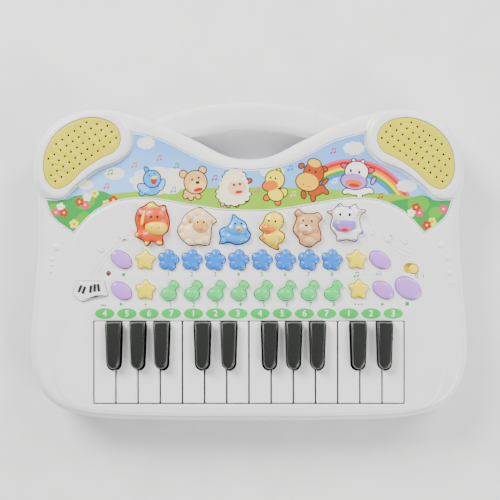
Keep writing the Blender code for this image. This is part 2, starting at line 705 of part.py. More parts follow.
def inside(point, loop):
    """Whether a point lies inside the loop, by counting the sides it is under."""
    found = False
    for a, b in zip(loop, loop[1:] + loop[:1]):
        if (a.y > point.y) != (b.y > point.y):
            if point.x < a.x + (b.x - a.x) * (point.y - a.y) / (b.y - a.y):
                found = not found
    return found


def grille_holes(loop):
    """Hole centres on a turned square grid, kept off the rim."""
    middle = Vector(SPEAKER_PLACE)
    rim = grown(loop, -GRILLE_HOLE_MARGIN)
    found = []
    for row in range(-9, 10):
        for column in range(-9, 10):
            step = Vector((column * GRILLE_HOLE_PITCH, row * GRILLE_HOLE_PITCH))
            step.rotate(Matrix.Rotation(GRILLE_HOLE_TURN, 2))
            if inside(middle + step, rim):
                found.append(middle + step)
    return found


def speaker_grille(side):
    loop = smooth_loop(GRILLE_POINTS, 2)
    holes = circles(grille_holes(loop), GRILLE_HOLE_RADIUS, 4)
    if side == "right":
        loop, holes = mirror(loop), [mirror(h) for h in holes]
    return finish(prism(f"speaker_grille_{side}", [loop, *holes], GRILLE_SEAT, GRILLE_TOP), *YELLOW)


def speaker(side):
    x, y = SPEAKER_PLACE
    place_x = x if side == "left" else -x
    return finish(turned(f"speaker_{side}", SPEAKER_PROFILE, (place_x, y), 16), *PAPER)


def domes(name, places, low, high):
    """Hollow-looking rubber domes, as short cones."""
    shape = bmesh.new()
    for x, y in places:
        where = Matrix.Translation((x * MM, y * MM, (low + high) / 2 * MM))
        bmesh.ops.create_cone(
            shape, cap_ends=True, segments=6, radius1=DOME_RADII[0] * MM, radius2=DOME_RADII[1] * MM,
            depth=(high - low) * MM, matrix=where,
        )
    mesh = bpy.data.meshes.new(name)
    shape.to_mesh(mesh)
    shape.free()
    return place(mesh, name)


def plunger_places():
    """Where each key's plunger comes down."""
    found = []
    for index in range(WHITE_KEYS):
        neck = list(white_span(index))
        half = BLACK_WIDTH / 2 + BLACK_SLOT_GAP
        if index - 1 in BLACK_AFTER:
            neck[0] = black_centre(index - 1) + half
        if index in BLACK_AFTER:
            neck[1] = black_centre(index) - half
        found.append((sum(neck) / 2, PLUNGER_Y))
    return [*found, *[(black_centre(i), PLUNGER_Y) for i in BLACK_AFTER]]


def key_contact_strip():
    """The rubber strip that returns the keys, with a dome under each plunger."""
    low = KEY_BOARD[1] + RUBBER_GAP
    strip = box("key_contact_strip", (-119, PLUNGER_Y - 6, low), (119, PLUNGER_Y + 6, KEY_MAT_TOP))
    join(strip, domes("key_domes", plunger_places(), KEY_MAT_TOP - 0.4, KEY_PLUNGER_END - RUBBER_GAP))
    return finish(strip, *RUBBER)


def button_contact_mat(buttons):
    """The rubber mat that returns the buttons, wide at the rows and narrow under the animals."""
    low = BUTTON_BOARD[1] + RUBBER_GAP
    plan = [Vector(p) for p in ((-132, -29), (130, -29), (130, 9), (90, 9), (90, 36), (-92, 36), (-92, 9), (-132, 9))]
    mat = prism("button_contact_mat", [plan], low, BUTTON_MAT_TOP)
    places = [c for row in (0, 1) for c in strip_centres(row)]
    places += [centre for _, _, centre, _, _ in buttons]
    join(mat, domes("button_domes", places, BUTTON_MAT_TOP - 0.4, BUTTON_PLUNGER_END - RUBBER_GAP))
    return finish(mat, *RUBBER)


def key_board():
    low, high = KEY_BOARD
    return finish(box("key_board", (-121, PLUNGER_Y - 10, low), (121, PLUNGER_Y + 10, high)), *BOARD)


def button_board():
    """The main circuit board, with its chip and capacitor on the underside."""
    low, high = BUTTON_BOARD
    board = box("button_board", (-141, -31.5, low), (141, 39, high))
    join(board, prism("sound_chip", circles([(-60, -8)], 7, 8), low - 1.6, low + 0.5))
    join(board, prism("capacitor", circles([(60, -12)], 3, 8), low - 8, low + 0.5))
    return finish(board, *BOARD)


def key_pivot_rod():
    rod = prism("key_pivot_rod", [moved(ellipse(ROD_RADIUS, ROD_RADIUS, 8), (HINGE_Y, HINGE_Z))], -ROD_END, ROD_END)
    return finish(along_x(rod, 0), *STEEL)


def record_led():
    """A small round indicator with a collar behind the deck."""
    profile = ((0, 31), (2.4, 31), (2.4, 32.6), (LED_RADIUS, 32.6), (LED_RADIUS, 38), (0.9, 38.7), (0, 38.8))
    return finish(turned("record_led", profile, LED_PLACE, 8), *RED_LENS)


def power_switch_body():
    """The slide switch on the board, with a groove that its lever runs in."""
    length, width = 14, 7
    body = prism("power_switch_body", [moved(pill(length, width, 2), SWITCH_PLACE, SWITCH_TURN)], BUTTON_MAT_TOP + 0.4, 31.8)
    groove = moved(pill(SWITCH_TRAVEL + 6.2, 2.8, 2), SWITCH_PLACE, SWITCH_TURN)
    cut(body, prism("switch_groove", [groove], 29.4, 33))
    return finish(body, *STEEL)


def power_switch_knob():
    """The sliding knob: a cover plate behind the slot, the knob in it and a lever into the switch."""
    middle = SWITCH_TRAVEL / 2
    along = Vector((math.cos(SWITCH_TURN), math.sin(SWITCH_TURN)))
    at = Vector(SWITCH_PLACE) + along * middle
    plate = prism("power_switch_knob", [moved(pill(16.5, 9.4, 4), at, SWITCH_TURN)], DECK_UNDER - 2.2, DECK_UNDER - 0.5)
    join(plate, prism("switch_grip", circles([at], SWITCH_KNOB_RADIUS, 12), DECK_UNDER - 1, CAP_TOP - 0.4))
    join(plate, prism("switch_lever", circles([at], 1.0, 6), 30, DECK_UNDER - 1.6))
    pivot_at(plate, *at, FLANGE_TOP)
    return finish(plate, *YELLOW)


for old in list(bpy.data.objects):
    bpy.data.objects.remove(old)
PARTS = new_collection("toy_keyboard")
TOOLS = new_collection("cutters")
TOOLS.hide_render = True
FLOWER_TURN = math.radians(-9)


def main():
    buttons = all_buttons()
    top_case(buttons)
    bottom_case()
    carry_handle()
    battery_door()
    batteries()
    picture_panel()
    for side in ("left", "right"):
        speaker_grille(side)
        speaker(side)
    for index in range(WHITE_KEYS):
        white_key(index)
    for number, index in enumerate(BLACK_AFTER, 1):
        black_key(number, index)
    for name, loop, centre, top, colour in buttons:
        button(name, loop, centre, top, colour)
    button_strip("rhythm_buttons", "flower", 0, FLOWER_TURN, SKY)
    button_strip("song_buttons", "lute", 1, 0.0, GREEN)
    key_pivot_rod()
    key_contact_strip()
    button_contact_mat(buttons)
    key_board()
    button_board()
    record_led()
    power_switch_body()
    power_switch_knob()


main()
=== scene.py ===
"""Looks of the toy electronic keyboard: white glossy mouldings, bright buttons and a printed picture.

Sizes are in millimetres, and MM turns them into metres. X runs along the keys, Y from the player to the handle.
"""

import math

import bmesh
import bpy
from mathutils import Matrix, Vector
from mathutils.bvhtree import BVHTree


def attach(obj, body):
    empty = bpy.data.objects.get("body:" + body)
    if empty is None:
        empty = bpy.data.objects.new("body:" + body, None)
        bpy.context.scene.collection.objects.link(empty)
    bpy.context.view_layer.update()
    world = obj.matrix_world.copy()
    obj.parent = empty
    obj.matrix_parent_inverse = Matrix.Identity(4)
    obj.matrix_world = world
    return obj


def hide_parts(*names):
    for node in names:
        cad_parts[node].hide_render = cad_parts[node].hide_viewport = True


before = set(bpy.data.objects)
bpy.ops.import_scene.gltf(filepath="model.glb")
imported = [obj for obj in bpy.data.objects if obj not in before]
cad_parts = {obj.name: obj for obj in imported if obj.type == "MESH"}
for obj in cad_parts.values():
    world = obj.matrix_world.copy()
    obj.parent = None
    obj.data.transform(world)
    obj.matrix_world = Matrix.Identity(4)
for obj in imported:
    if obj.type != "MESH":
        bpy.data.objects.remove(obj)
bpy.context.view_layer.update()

MM = 0.001

# Heights of the mouldings
DECK = 38.0
FIELD = 38.7
SPLIT = 12.0
# The upper case ends in a small groove over the split
SEAM, SEAM_EDGE = 12.3, 12.6
WALL = 2.2
EAR_TOP = 41.7
GRILLE = (39.3, 41.3)
PICTURE_FLOOR = 37.0
PICTURE = (37.3, 37.8)
KEY_TOP = 39.3
KEY_UNDER = 27.0
BLACK_TOP = 47.0
CAP_FOOT = 34.3
CAP_SHOULDER = 39.9
CAP = 41.4
# Room round a button, and where its opening starts
BUTTON_GAP = 0.35
OPENING_LOW = 33.0
GRIP_MIDDLE, GRIP_HALF = 20, 9.95

CASE_HALF = (
    (0, -123.5), (70, -123), (125, -120), (154, -108), (166.5, -85), (168.5, -57), (165.4, -19),
    (162.8, 16), (163.2, 46), (166, 67), (162.6, 89), (150, 106), (127, 116), (100, 115.3),
    (70, 106.3), (42, 93.3), (18, 81.4), (0, 78.7),
)
FIELD_HALF = (
    (0, -117), (70, -116.8), (122, -114), (141, -106), (148, -90), (148.4, -72), (147, -53), (145, -28),
    (141, -7), (137, 7), (133, 18.5), (127.5, 26.5), (117.5, 35.8), (98, 44.6), (74, 45.6), (45, 40.8), (20, 37.1),
    (0, 36.4),
)
PICTURE_RUNS = (
    ((0, 69.8), (22, 72.3), (42, 80.2), (66, 92.6), (89.6, 98.9)),
    ((89.6, 98.9), (90.6, 86.5), (100.8, 76.2), (116, 69.8), (131, 59), (143, 48), (156.5, 47.6)),
    ((156.5, 47.6), (150.5, 33), (134.6, 21.1)),
    ((134.6, 21.1), (118, 38), (98, 46.6), (74, 47.6), (45, 42.8), (20, 39.1), (0, 38.4)),
)
GRILLE_POINTS = (
    (-156.9, 72.4), (-154.6, 61.5), (-147.5, 55.2), (-137.5, 58.9), (-127, 69.2), (-114, 78), (-103, 83.5),
    (-98.3, 92), (-101, 102), (-110.5, 108), (-123, 109.3), (-137, 105), (-148.5, 96), (-154.8, 85),
)
HANDLE_HALF = (
    (0, 123.5), (32, 121.6), (60, 115), (84, 105.5), (80, 97), (62, 92.4), (46.5, 95.8), (24, 100.8), (0, 102.5),
)
HOLE_PITCH = 5.7
HOLE_TURN = math.radians(35.5)
SPEAKER_PLACE = Vector((-128, 82))

KEY_PITCH = 17.0
KEYS_LEFT = -119.0
KEY_FRONT, KEY_REAR = -108.9, -46.4
BLACK_HALF, BLACK_TIP = 5.8, -82.5
BLACK_AFTER = {0: -1.2, 1: 0.0, 2: 1.2, 4: -1.5, 5: 1.5, 7: -1.2, 8: 0.0, 9: 1.2, 11: -1.5, 12: 1.5}

ROWS = (0.5, -22.6)
STRIP_PITCH = 17.9
STRIP_FIRST = (-61.7, -60.2)
OVALS = {
    "record_button": ((-97.6, 1.0), 8.4, 5.8),
    "replay_button": ((-97.6, -22.9), 8.4, 5.8),
    "volume_button": ((100.2, 0.9), 8.4, 5.8),
    "demo_button": ((102.8, -22.2), 8.4, 5.8),
    "stop_button": ((121.7, -20.7), 10.3, 7.6),
}
OVAL_TURN = math.radians(-33)
STAR_TURN = math.radians(-3)
STARS = {
    "tempo_down_button": (-79.4, 0.6),
    "tempo_up_button": (-79.2, -22.4),
    "melody_button": (82.3, 0.9),
    "chord_button": (84.0, -21.8),
}
LED_PLACE = (-107.6, -9.6)
SWITCH_PLACE = (124.3, -5.8)
SWITCH_TURN = math.radians(-8)
PIANO_PLACE = (-121.5, -22.4)
PIANO_POINTS = ((10.5, 6.8), (-9.8, 6.8), (-13.1, -2.6), (-10.8, -5.8), (-6.7, -8.7), (-2.4, -7.7), (4.6, -5.1),
    (12.8, -4.4), (13.4, -2.5))
# Middle and outline of each animal button, measured from that middle
ANIMALS = {
    "horse_button": ((-74.2, 28.4), (
        (0, 17.2), (4.6, 13.6), (9.8, 14.2), (11.2, 9.6), (13.2, 2), (12.2, -5), (8, -9.5), (8.4, -15.6), (4.2, -16),
        (0, -13), (-4.4, -17.2), (-7, -12.5), (-13.4, -9), (-11, -5.2), (-12.8, 3), (-10.8, 10.8), (-6, 13.6))),
    "sheep_button": ((-39.8, 26.3), (
        (2, 14.6), (7.6, 11.4), (14.9, 4.6), (11.4, 0.6), (10.6, -8), (8.6, -14), (1, -13.8), (-6, -14.2),
        (-12, -9.4),
        (-15, -3), (-12.2, 3), (-9.6, 8.2), (-4.4, 12.2))),
    "bird_button": ((-10.8, 23.9), (
        (-1.2, 11.7), (3, 8.6), (8.2, 5.4), (9.8, 0), (12, -3.6), (9.6, -8.8), (2, -11.4), (-5, -9.6), (-11.6, -11),
        (-10.6, -6.6), (-12, -1.6), (-9.2, 1.4), (-5.4, 2.6), (-2.6, 7))),
    "duck_button": ((17.7, 23.2), (
        (2.6, 14.6), (8.4, 10.6), (8.2, 4.4), (5.6, 0.6), (9.8, -3.2), (7.6, -8.8), (4.4, -10.4), (4.6, -14.6),
        (-1, -12.6), (-6, -9), (-9.8, -5.6), (-6.2, -2), (-9.8, 2), (-6.8, 6.4), (-4.4, 12))),
    "bear_button": ((44.9, 25.4), (
        (-6.8, 14.6), (-3, 11.2), (4, 10.8), (8.2, 11.6), (11.2, 7.6), (8, 3.2), (10, -3.6), (9.8, -9.6),
        (6.6, -11.4),
        (2, -14.8), (-5.4, -12.4), (-6.6, -8.4), (-11, -2.4), (-9.4, 4), (-8.2, 7.6), (-9.8, 11))),
    "cow_button": ((74.6, 29.5), (
        (-5, 14.6), (-2, 12.2), (3.4, 12.2), (7, 13.8), (9.6, 10.2), (15, 9.2), (10.6, 4.8), (10.8, -2.4),
        (12.8, -7.6),
        (8.8, -9.6), (7.6, -14.4), (0, -13.2), (-6.8, -14.4), (-7.6, -10.2), (-12.2, -3.6), (-10.6, 4.6), (-14.6, 8),
        (-9.8, 9.8))),
}
FOOT_PLACES = ((-140, -98), (140, -98), (-135, 88), (135, 88))
SCREW_PLACES = ((-148, 46), (148, 46), (-151, -96), (151, -96), (-60, 74), (60, 74), (0, -115.3))
SCREW_TURNS = (20, 70, 45, 10, 85, 30, 55)


# Materials

def paint(text):
    """An sRGB hex colour as linear values."""
    parts = [int(text[i:i + 2], 16) / 255 for i in (1, 3, 5)]
    return (*[c / 12.92 if c <= 0.04045 else ((c + 0.055) / 1.055) ** 2.4 for c in parts], 1)


def add(tree, kind, settings=None, **inputs):
    """Adds a node with its settings, and sets or links its inputs."""
    made = tree.nodes.new("ShaderNode" + kind)
    for key, value in (settings or {}).items():
        setattr(made, key, value)
    for key, value in inputs.items():
        place = int(key[1:]) if key[1:].isdigit() else key.replace("_", " ")
        if isinstance(value, bpy.types.NodeSocket):
            tree.links.new(value, made.inputs[place])
        else:
            made.inputs[place].default_value = value
    return made


def blank(name, colour, metallic=0.0, ior=1.5, coat=0.0):
    """A material with its Principled shader and constant values."""
    made = bpy.data.materials.new(name)
    made.use_nodes = True
    made.diffuse_color = paint(colour)
    tree = made.node_tree
    shader = tree.nodes["Principled BSDF"]
    shader.inputs["Base Color"].default_value = paint(colour)
    shader.inputs["Metallic"].default_value = metallic
    shader.inputs["IOR"].default_value = ior
    shader.inputs["Coat Weight"].default_value = coat
    where = add(tree, "TexCoord").outputs["Object"]
    return made, tree, shader, where


def moulded(name, colour, rough=0.25, grain=0.6, relief=0.01, drift=0.04, ior=1.54, glow=0.0, coat=0.0):
    """Injection-moulded plastic: faint flow marks, a little drift in colour and a fine mould texture.

    grain and relief are the texture's width and depth in millimetres.
    """
    made, tree, shader, where = blank(name, colour, ior=ior, coat=coat)
    flow = add(tree, "TexNoise", Vector=where, Scale=1 / (28 * MM), Detail=2.0)
    tone = add(tree, "ValToRGB", Fac=flow.outputs["Fac"])
    low, high = tone.color_ramp.elements
    low.position, high.position = 0.3, 0.7
    base = paint(colour)
    low.color = (*[c * (1 - drift) for c in base[:3]], 1)
    high.color = (*[min(1, c * (1 + drift * 0.6)) for c in base[:3]], 1)
    tree.links.new(tone.outputs["Color"], shader.inputs["Base Color"])
    skin = add(tree, "TexNoise", Vector=where, Scale=1 / (grain * MM), Detail=3.0)
    shine = add(tree, "MapRange", i0=skin.outputs["Fac"], i1=0.3, i2=0.7, i3=rough * 0.85, i4=rough * 1.2)
    tree.links.new(shine.outputs[0], shader.inputs["Roughness"])
    bump = add(tree, "Bump", Height=skin.outputs["Fac"], Strength=0.5, Distance=relief * MM)
    tree.links.new(bump.outputs["Normal"], shader.inputs["Normal"])
    if glow:
        shader.inputs["Subsurface Weight"].default_value = glow
        shader.inputs["Subsurface Radius"].default_value = (1.0, 1.0, 1.0)
        shader.inputs["Subsurface Scale"].default_value = 1.5 * MM
    return made


# Outlines in plan

def smooth_run(points, steps):
    """An open curve through the points. The last point is left out."""
    ends = [Vector(p) for p in points]
    ends = [2 * ends[0] - ends[1], *ends, 2 * ends[-1] - ends[-2]]
    found = []
    for before, start, end, after in zip(ends, ends[1:], ends[2:], ends[3:]):
        for step in range(steps):
            t = step / steps
            bend = 2 * before - 5 * start + 4 * end - after
            twist = 3 * start - before - 3 * end + after
            found.append((2 * start + (end - before) * t + bend * t**2 + twist * t**3) / 2)
    return found


def smooth_loop(points, steps):
    count = len(points)
    run = [points[i % count] for i in range(-1, count + 2)]
    return smooth_run(run, steps)[steps:-steps]


def mirrored_loop(half, steps):
    whole = [*half, *[(-x, y) for x, y in half[-2:0:-1]]]
    return smooth_loop(whole, steps)


def mirrored_runs(runs, steps):
    right = [p for run in runs for p in smooth_run(run, steps)]
    right.append(Vector(runs[-1][-1]))
    return [*right, *[Vector((-p.x, p.y)) for p in right[-2:0:-1]]]


def mirror(loop):
    return [Vector((-p[0], p[1])) for p in loop]


def grown(loop, by):
    """The loop moved outwards, whichever way round it runs."""
    area = sum(a.cross(b) for a, b in zip(loop, loop[1:] + loop[:1]))
    side = math.copysign(1, area)
    found = []
    for i, point in enumerate(loop):
        into = (point - loop[i - 1]).normalized()
        out = (loop[(i + 1) % len(loop)] - point).normalized()
        middle = (into + out).normalized()
        outward = Vector((middle.y, -middle.x)) * side
        found.append(point + outward * (by / max(0.5, middle.dot(into))))
    return found


def moved(loop, centre, turn=0.0, size=1.0):
    cosine, sine = math.cos(turn) * size, math.sin(turn) * size
    return [Vector((x * cosine - y * sine + centre[0], x * sine + y * cosine + centre[1])) for x, y in loop]


def ellipse(across, along, sides=48):
    return [Vector((across * math.cos(a), along * math.sin(a))) for a in (math.tau * i / sides for i in range(sides))]


def disc(radius, centre, sides=48):
    return moved(ellipse(radius, radius, sides), centre)


def oblong(left, low, right, high):
    """A rectangle's corners, counter-clockwise."""
    return [Vector(p) for p in ((left, low), (right, low), (right, high), (left, high))]


def pill(length, width, per_end=12):
    reach, radius = (length - width) / 2, width / 2
    turns = [math.pi * i / per_end - math.pi / 2 for i in range(per_end + 1)]
    right = [Vector((reach + radius * math.cos(a), radius * math.sin(a))) for a in turns]
    return [*right, *[-p for p in right]]


def filleted(points, radius, steps=5, sharp=25):
    """The polygon with each corner sharper than the given degrees rounded off."""
    found = []
    loop = [Vector(p) for p in points]
    for i, corner in enumerate(loop):
        back, on = loop[i - 1] - corner, loop[(i + 1) % len(loop)] - corner
        turn = math.pi - back.angle(on)
        if turn < math.radians(sharp):
            found.append(corner)
            continue
        wanted = radius if isinstance(radius, float) else radius[i % len(radius)]
        reach = min(wanted * math.tan(turn / 2), back.length * 0.48, on.length * 0.48)
        start, end = corner + back.normalized() * reach, corner + on.normalized() * reach
        for step in range(steps + 1):
            t = step / steps
            found.append((1 - t) ** 2 * start + 2 * t * (1 - t) * corner + t**2 * end)
    return found


def petals(count, reach, radius, steps, turn=0.0):
    """The outline of a ring of overlapping round petals."""
    found = []
    for i in range(count * steps):
        angle = math.tau * i / (count * steps)
        off = abs((angle * count / math.tau + 0.5) % 1 - 0.5) * math.tau / count
        edge = reach * math.cos(off) + math.sqrt(max(0, radius**2 - (reach * math.sin(off)) ** 2))
        found.append(Vector((edge * math.cos(angle + turn), edge * math.sin(angle + turn))))
    return found


def star_loop(outer, inner, tip, notch):
    """A five-pointed star with round points and round notches."""
    turns = [math.pi / 2 + math.tau * i / 10 for i in range(10)]
    points = [(reach * math.cos(a), reach * math.sin(a)) for reach, a in zip((outer, inner) * 5, turns)]
    return filleted(points, (tip, notch), 7)


# Shapes

def drawn_solid(shape, rows):
    """Adds a closed solid drawn from its first row of corners through each row after it."""
    before = set(shape.faces)
    corners = [shape.verts.new([c * MM for c in place]) for place in rows[0]]
    rim = [shape.edges.new(pair) for pair in zip(corners, corners[1:] + corners[:1])]
    bmesh.ops.contextual_create(shape, geom=rim)
    for row in rows[1:]:
        made = bmesh.ops.extrude_edge_only(shape, edges=rim)["geom"]
        fresh = {v for v in made if isinstance(v, bmesh.types.BMVert)}
        corners = [next(v for v in (e.other_vert(c) for e in c.link_edges) if v in fresh) for c in corners]
        for corner, place in zip(corners, row):
            corner.co = [c * MM for c in place]
        rim = [e for e in made if isinstance(e, bmesh.types.BMEdge) and all(v in fresh for v in e.verts)]
    bmesh.ops.contextual_create(shape, geom=rim)
    face_outwards(shape, [f for f in shape.faces if f not in before])


def ring_solid(shape, rings):
    """Adds a closed solid drawn up through rings: each one is an outline and its height."""
    drawn_solid(shape, [[(p[0], p[1], height) for p in loop] for loop, height in rings])


def mirrored_rings(rings):
    return [(mirror(loop), height) for loop, height in rings]


def face_outwards(shape, faces):
    bmesh.ops.recalc_face_normals(shape, faces=faces)
    if sum(f.calc_center_median().dot(f.normal) * f.calc_area() for f in faces) < 0:
        bmesh.ops.reverse_faces(shape, faces=faces)


def settle(name, shape, finish=None, angle=40):
    """Makes the shape an object, shaded smooth between its sharp edges."""
    mesh = bpy.data.meshes.new(name)
    shape.to_mesh(mesh)
    shape.free()
    obj = bpy.data.objects.new(name, mesh)
    bpy.context.scene.collection.objects.link(obj)
    dress(obj, finish, angle)
    return obj


def dress(obj, finish=None, angle=40):
    if finish:
        obj.data.materials.clear()
        obj.data.materials.append(finish)
    obj.data.shade_smooth()
    obj.data.set_sharp_from_angle(angle=math.radians(angle))
    return obj


def stack(name, rings, finish=None, angle=40):
    shape = bmesh.new()
    ring_solid(shape, rings)
    return settle(name, shape, finish, angle)


def carve(piece, other, operation="DIFFERENCE"):
    """Cuts, joins or keeps what is common with the other shape, which is used up."""
    boolean = piece.modifiers.new("carve", "BOOLEAN")
    boolean.operation = operation
    boolean.object = other
    bake(piece)
    bpy.data.objects.remove(other)
    return piece


def bake(piece):
    """Applies the piece's modifiers."""
    bpy.context.view_layer.update()
    seen = piece.evaluated_get(bpy.context.evaluated_depsgraph_get())
    mesh = bpy.data.meshes.new_from_object(seen)
    piece.modifiers.clear()
    piece.data = mesh
    return piece


def rounding(radius, steps):
    """Insets and drops of a quarter round, from the side up to the top."""
    turns = [math.pi / 2 * i / steps for i in range(steps + 1)]
    return [(radius * (1 - math.cos(a)), radius * (1 - math.sin(a))) for a in turns]


def slab(loop, low, high, radius=0.6, steps=4):
    """Rings of a plate with a rounded top edge."""
    rings = [(loop, low)]
    rings += [(grown(loop, -inset), high - drop) for inset, drop in rounding(radius, steps)]
    return rings


def dome(loop, centre, low, shoulder, top, steps=9, power=2.4):
    """Rings of a button cap that swells up to its middle."""
    rings = [(loop, low), (loop, shoulder)]
    for step in range(1, steps + 1):
        size = math.cos(math.pi / 2 * step / (steps + 0.35))
        rise = (1 - size**power) ** (1 / power)
        smaller = [Vector(centre) + (p - Vector(centre)) * size for p in loop]
        rings.append((smaller, shoulder + (top - shoulder) * rise))
    return rings


def hole_rings(loop, low, surface, lip=0.4, steps=4):
    """Rings of a cutter whose mouth flares, so that the hole's rim comes out rounded."""
    rings = [(loop, low)]
    for step in range(steps + 1):
        turn = math.pi / 2 * step / steps
        rings.append((grown(loop, lip * (1 - math.cos(turn))), surface - lip + lip * math.sin(turn)))
    rings.append((grown(loop, lip + 0.2), surface + 0.05))
    rings.append((grown(loop, lip + 0.2), surface + 6))
    return rings


def block(shape, low, high):
    """Adds a cuboid between two corners."""
    made = bmesh.ops.create_cube(shape, size=1)["verts"]
    bmesh.ops.scale(shape, vec=[(b - a) * MM for a, b in zip(low, high)], verts=made)
    bmesh.ops.translate(shape, vec=[(a + b) / 2 * MM for a, b in zip(low, high)], verts=made)
    return made


def stand_for(piece, node, body="case"):
    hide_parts(node)
    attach(piece, body)
    return piece


# Finishes

# Gloss-moulded ABS: soft wide highlights over a nearly even white
WHITE = moulded("white_gloss_abs", "#F1F1F0", rough=0.24, grain=0.5, relief=0.006, drift=0.02)
# ABS from a polished mould: small sharp highlights along each key
KEY_WHITE = moulded("polished_white_abs", "#F6F6F5", rough=0.12, grain=1.2, relief=0.003, drift=0.015, coat=0.3)
# Satin ABS: a dull sheen that hides scratches on the underside
VIOLET = moulded("satin_violet_abs", "#8A88B4", rough=0.42, grain=0.35, relief=0.02)
# Black ABS, polished: deep, with a clear line of light on its rounded top
BLACK = moulded("polished_black_abs", "#1E201E", rough=0.3, grain=1.0, relief=0.004, coat=0.1)
# Gloss ABS in strong colours: saturated, with a bright spot on each crown
YELLOW = moulded("yellow_gloss_abs", "#FBE600", rough=0.22)
LILAC = moulded("lilac_gloss_abs", "#C488EE", rough=0.18, coat=0.3)
SKY = moulded("blue_gloss_abs", "#1A7CE6", rough=0.2, coat=0.2)
GREEN = moulded("green_gloss_abs", "#3CD86C", rough=0.2, coat=0.2)
# Spark-textured ABS: matt and slightly uneven, so the grilles look darker than the buttons
GRILLE_YELLOW = moulded("textured_yellow_abs", "#D8CC08", rough=0.45, grain=0.4, relief=0.03, drift=0.06)


def case_tools(rings_list):
    """Closed solids in one object, to cut or join with."""
    shape = bmesh.new()
    for rings in rings_list:
        ring_solid(shape, rings)
    return settle("tools", shape)


def black_centre(index):
    return KEYS_LEFT + (index + 1) * KEY_PITCH + BLACK_AFTER[index]


def strip_centres(row):
    return [(STRIP_FIRST[row] + STRIP_PITCH * i, ROWS[row]) for i in range(8)]


def nearest_inside(point, wall, depth):
    """The point, moved in until it is at least the depth inside the wall outline."""
    best, into = None, None
    for a, b in zip(wall, wall[1:] + wall[:1]):
        along = b - a
        t = min(1, max(0, (point - a).dot(along) / along.length_squared))
        foot = a + along * t
        if best is None or (point - foot).length < (point - best).length:
            best, into = foot, Vector((-along.y, along.x)).normalized()
    deep = (point - best).dot(into)
    return point if deep >= depth else best + into * depth


CASE = mirrored_loop(CASE_HALF, 12)
FIELD_LOOP = mirrored_loop(FIELD_HALF, 10)
PICTURE_LOOP = mirrored_runs(PICTURE_RUNS, 12)
GRILLE_LOOP = smooth_loop(GRILLE_POINTS, 10)
STAR = star_loop(9.0, 5.3, 2.2, 2.0)
FLOWER = petals(5, 4.75, 3.3, 12, math.radians(81))
LUTE_BODY = [
    (-1.4 + 5.8 * math.cos(math.radians(d)), -2.8 + 4.8 * math.sin(math.radians(d))) for d in range(100, 391, 8)
]
LUTE = filleted([*LUTE_BODY, (3.7, 1.4), (7.4, 3.4), (4.2, 7.2), (1.2, 7.6), (-0.9, 5.0), (-0.5, 3.0)], 1.5, 4, 30)
KEY_BED = filleted(oblong(-119.5, -109.8, 119.5, -45.8), 1.0)


def ear_rings():
    """The raised ear round a loudspeaker grille, which runs flush into the case's side."""
    steps = (
        (11.0, 0.05, 29.0), (11.0, 0.1, 34.0), (11.0, 0.9, 37.6), (10.4, 1.1, 38.1), (9.4, 1.5, 38.6),
        (8.4, 2.1, 39.4),
        (7.5, 2.9, 40.2), (6.5, 3.8, 40.9), (5.4, 4.7, 41.4), (4.2, 5.6, 41.65), (3.0, 6.4, EAR_TOP),
        (1.5, 6.8, EAR_TOP),
    )
    rings = []
    for out, deep, height in steps:
        rings.append(([nearest_inside(p, CASE, deep) for p in grown(GRILLE_LOOP, out)], height))
    return rings


def top_shell():
    """The white upper case with its ears, raised field and openings."""
    hollow = ((8.4, 35.8), (4.8, 34.7), (2.9, 32.2), (WALL, 29.5), (WALL, SEAM), (0.3, SEAM))
    inner = [*[(grown(CASE, -inset), height) for inset, height in hollow], (CASE, SEAM_EDGE)]
    outer = [(grown(CASE, -inset), DECK - drop) for inset, drop in rounding(8, 12)]
    shell = stack("top_shell", [*inner, *outer])
    rings = ear_rings()
    ears = case_tools([rings, mirrored_rings(rings)])
    carve(shell, ears, "UNION")
    rise = (
        (1.9, 37.3), (1.6, 37.97), (0.9, 38.08), (0.2, 38.35), (-0.5, 38.58), (-1.3, FIELD), (-2.4, FIELD), (-2.6, FIELD),
    )
    carve(shell, stack("field", [(grown(FIELD_LOOP, out), z) for out, z in rise]), "UNION")
    groups = button_loops()
    groups[1].append(moved(pill(11.0, 7.3), SWITCH_PLACE, SWITCH_TURN))
    groups[1].append(disc(1.5, LED_PLACE, 24))
    groups[2].append(grown(KEY_BED, -BUTTON_GAP))
    groups.append([animal_loop(name) for name in ANIMALS])
    for group in groups:
        carve(shell, case_tools([hole_rings(grown(loop, BUTTON_GAP), OPENING_LOW, FIELD) for loop in group]))
    seats = hole_rings(grown(GRILLE_LOOP, BUTTON_GAP), GRILLE[0] - 0.3, EAR_TOP, 0.5)
    mouth = [(grown(GRILLE_LOOP, -2.5), 28.0), (grown(GRILLE_LOOP, -2.5), 40.0)]
    picture = hole_rings(grown(PICTURE_LOOP, 0.3), PICTURE_FLOOR, DECK, 0.5)
    carve(shell, case_tools([seats, mirrored_rings(seats), picture]))
    carve(shell, case_tools([mouth, mirrored_rings(mouth)]))
    carve(shell, handle_space())
    dress(shell, WHITE, 35)
    return stand_for(shell, "top_case")


def handle_space():
    """Room for the handle's ends in both halves of the case."""
    loop = grown(mirrored_loop(HANDLE_HALF, 8), 0.4)
    return stack("handle_space", [(loop, 9.6), (loop, 30.4)])


def button_loops():
    """The outlines of the buttons in the raised field, in groups that keep apart."""
    ovals = [moved(ellipse(a, b), centre, OVAL_TURN) for centre, a, b in OVALS.values()]
    ovals.append(moved(filleted(PIANO_POINTS, 0.8), PIANO_PLACE))
    stars = [moved(STAR, centre, STAR_TURN) for centre in STARS.values()]
    flowers = [moved(FLOWER, centre) for centre in strip_centres(0)]
    lutes = [moved(LUTE, centre) for centre in strip_centres(1)]
    return [ovals, stars, flowers, lutes]


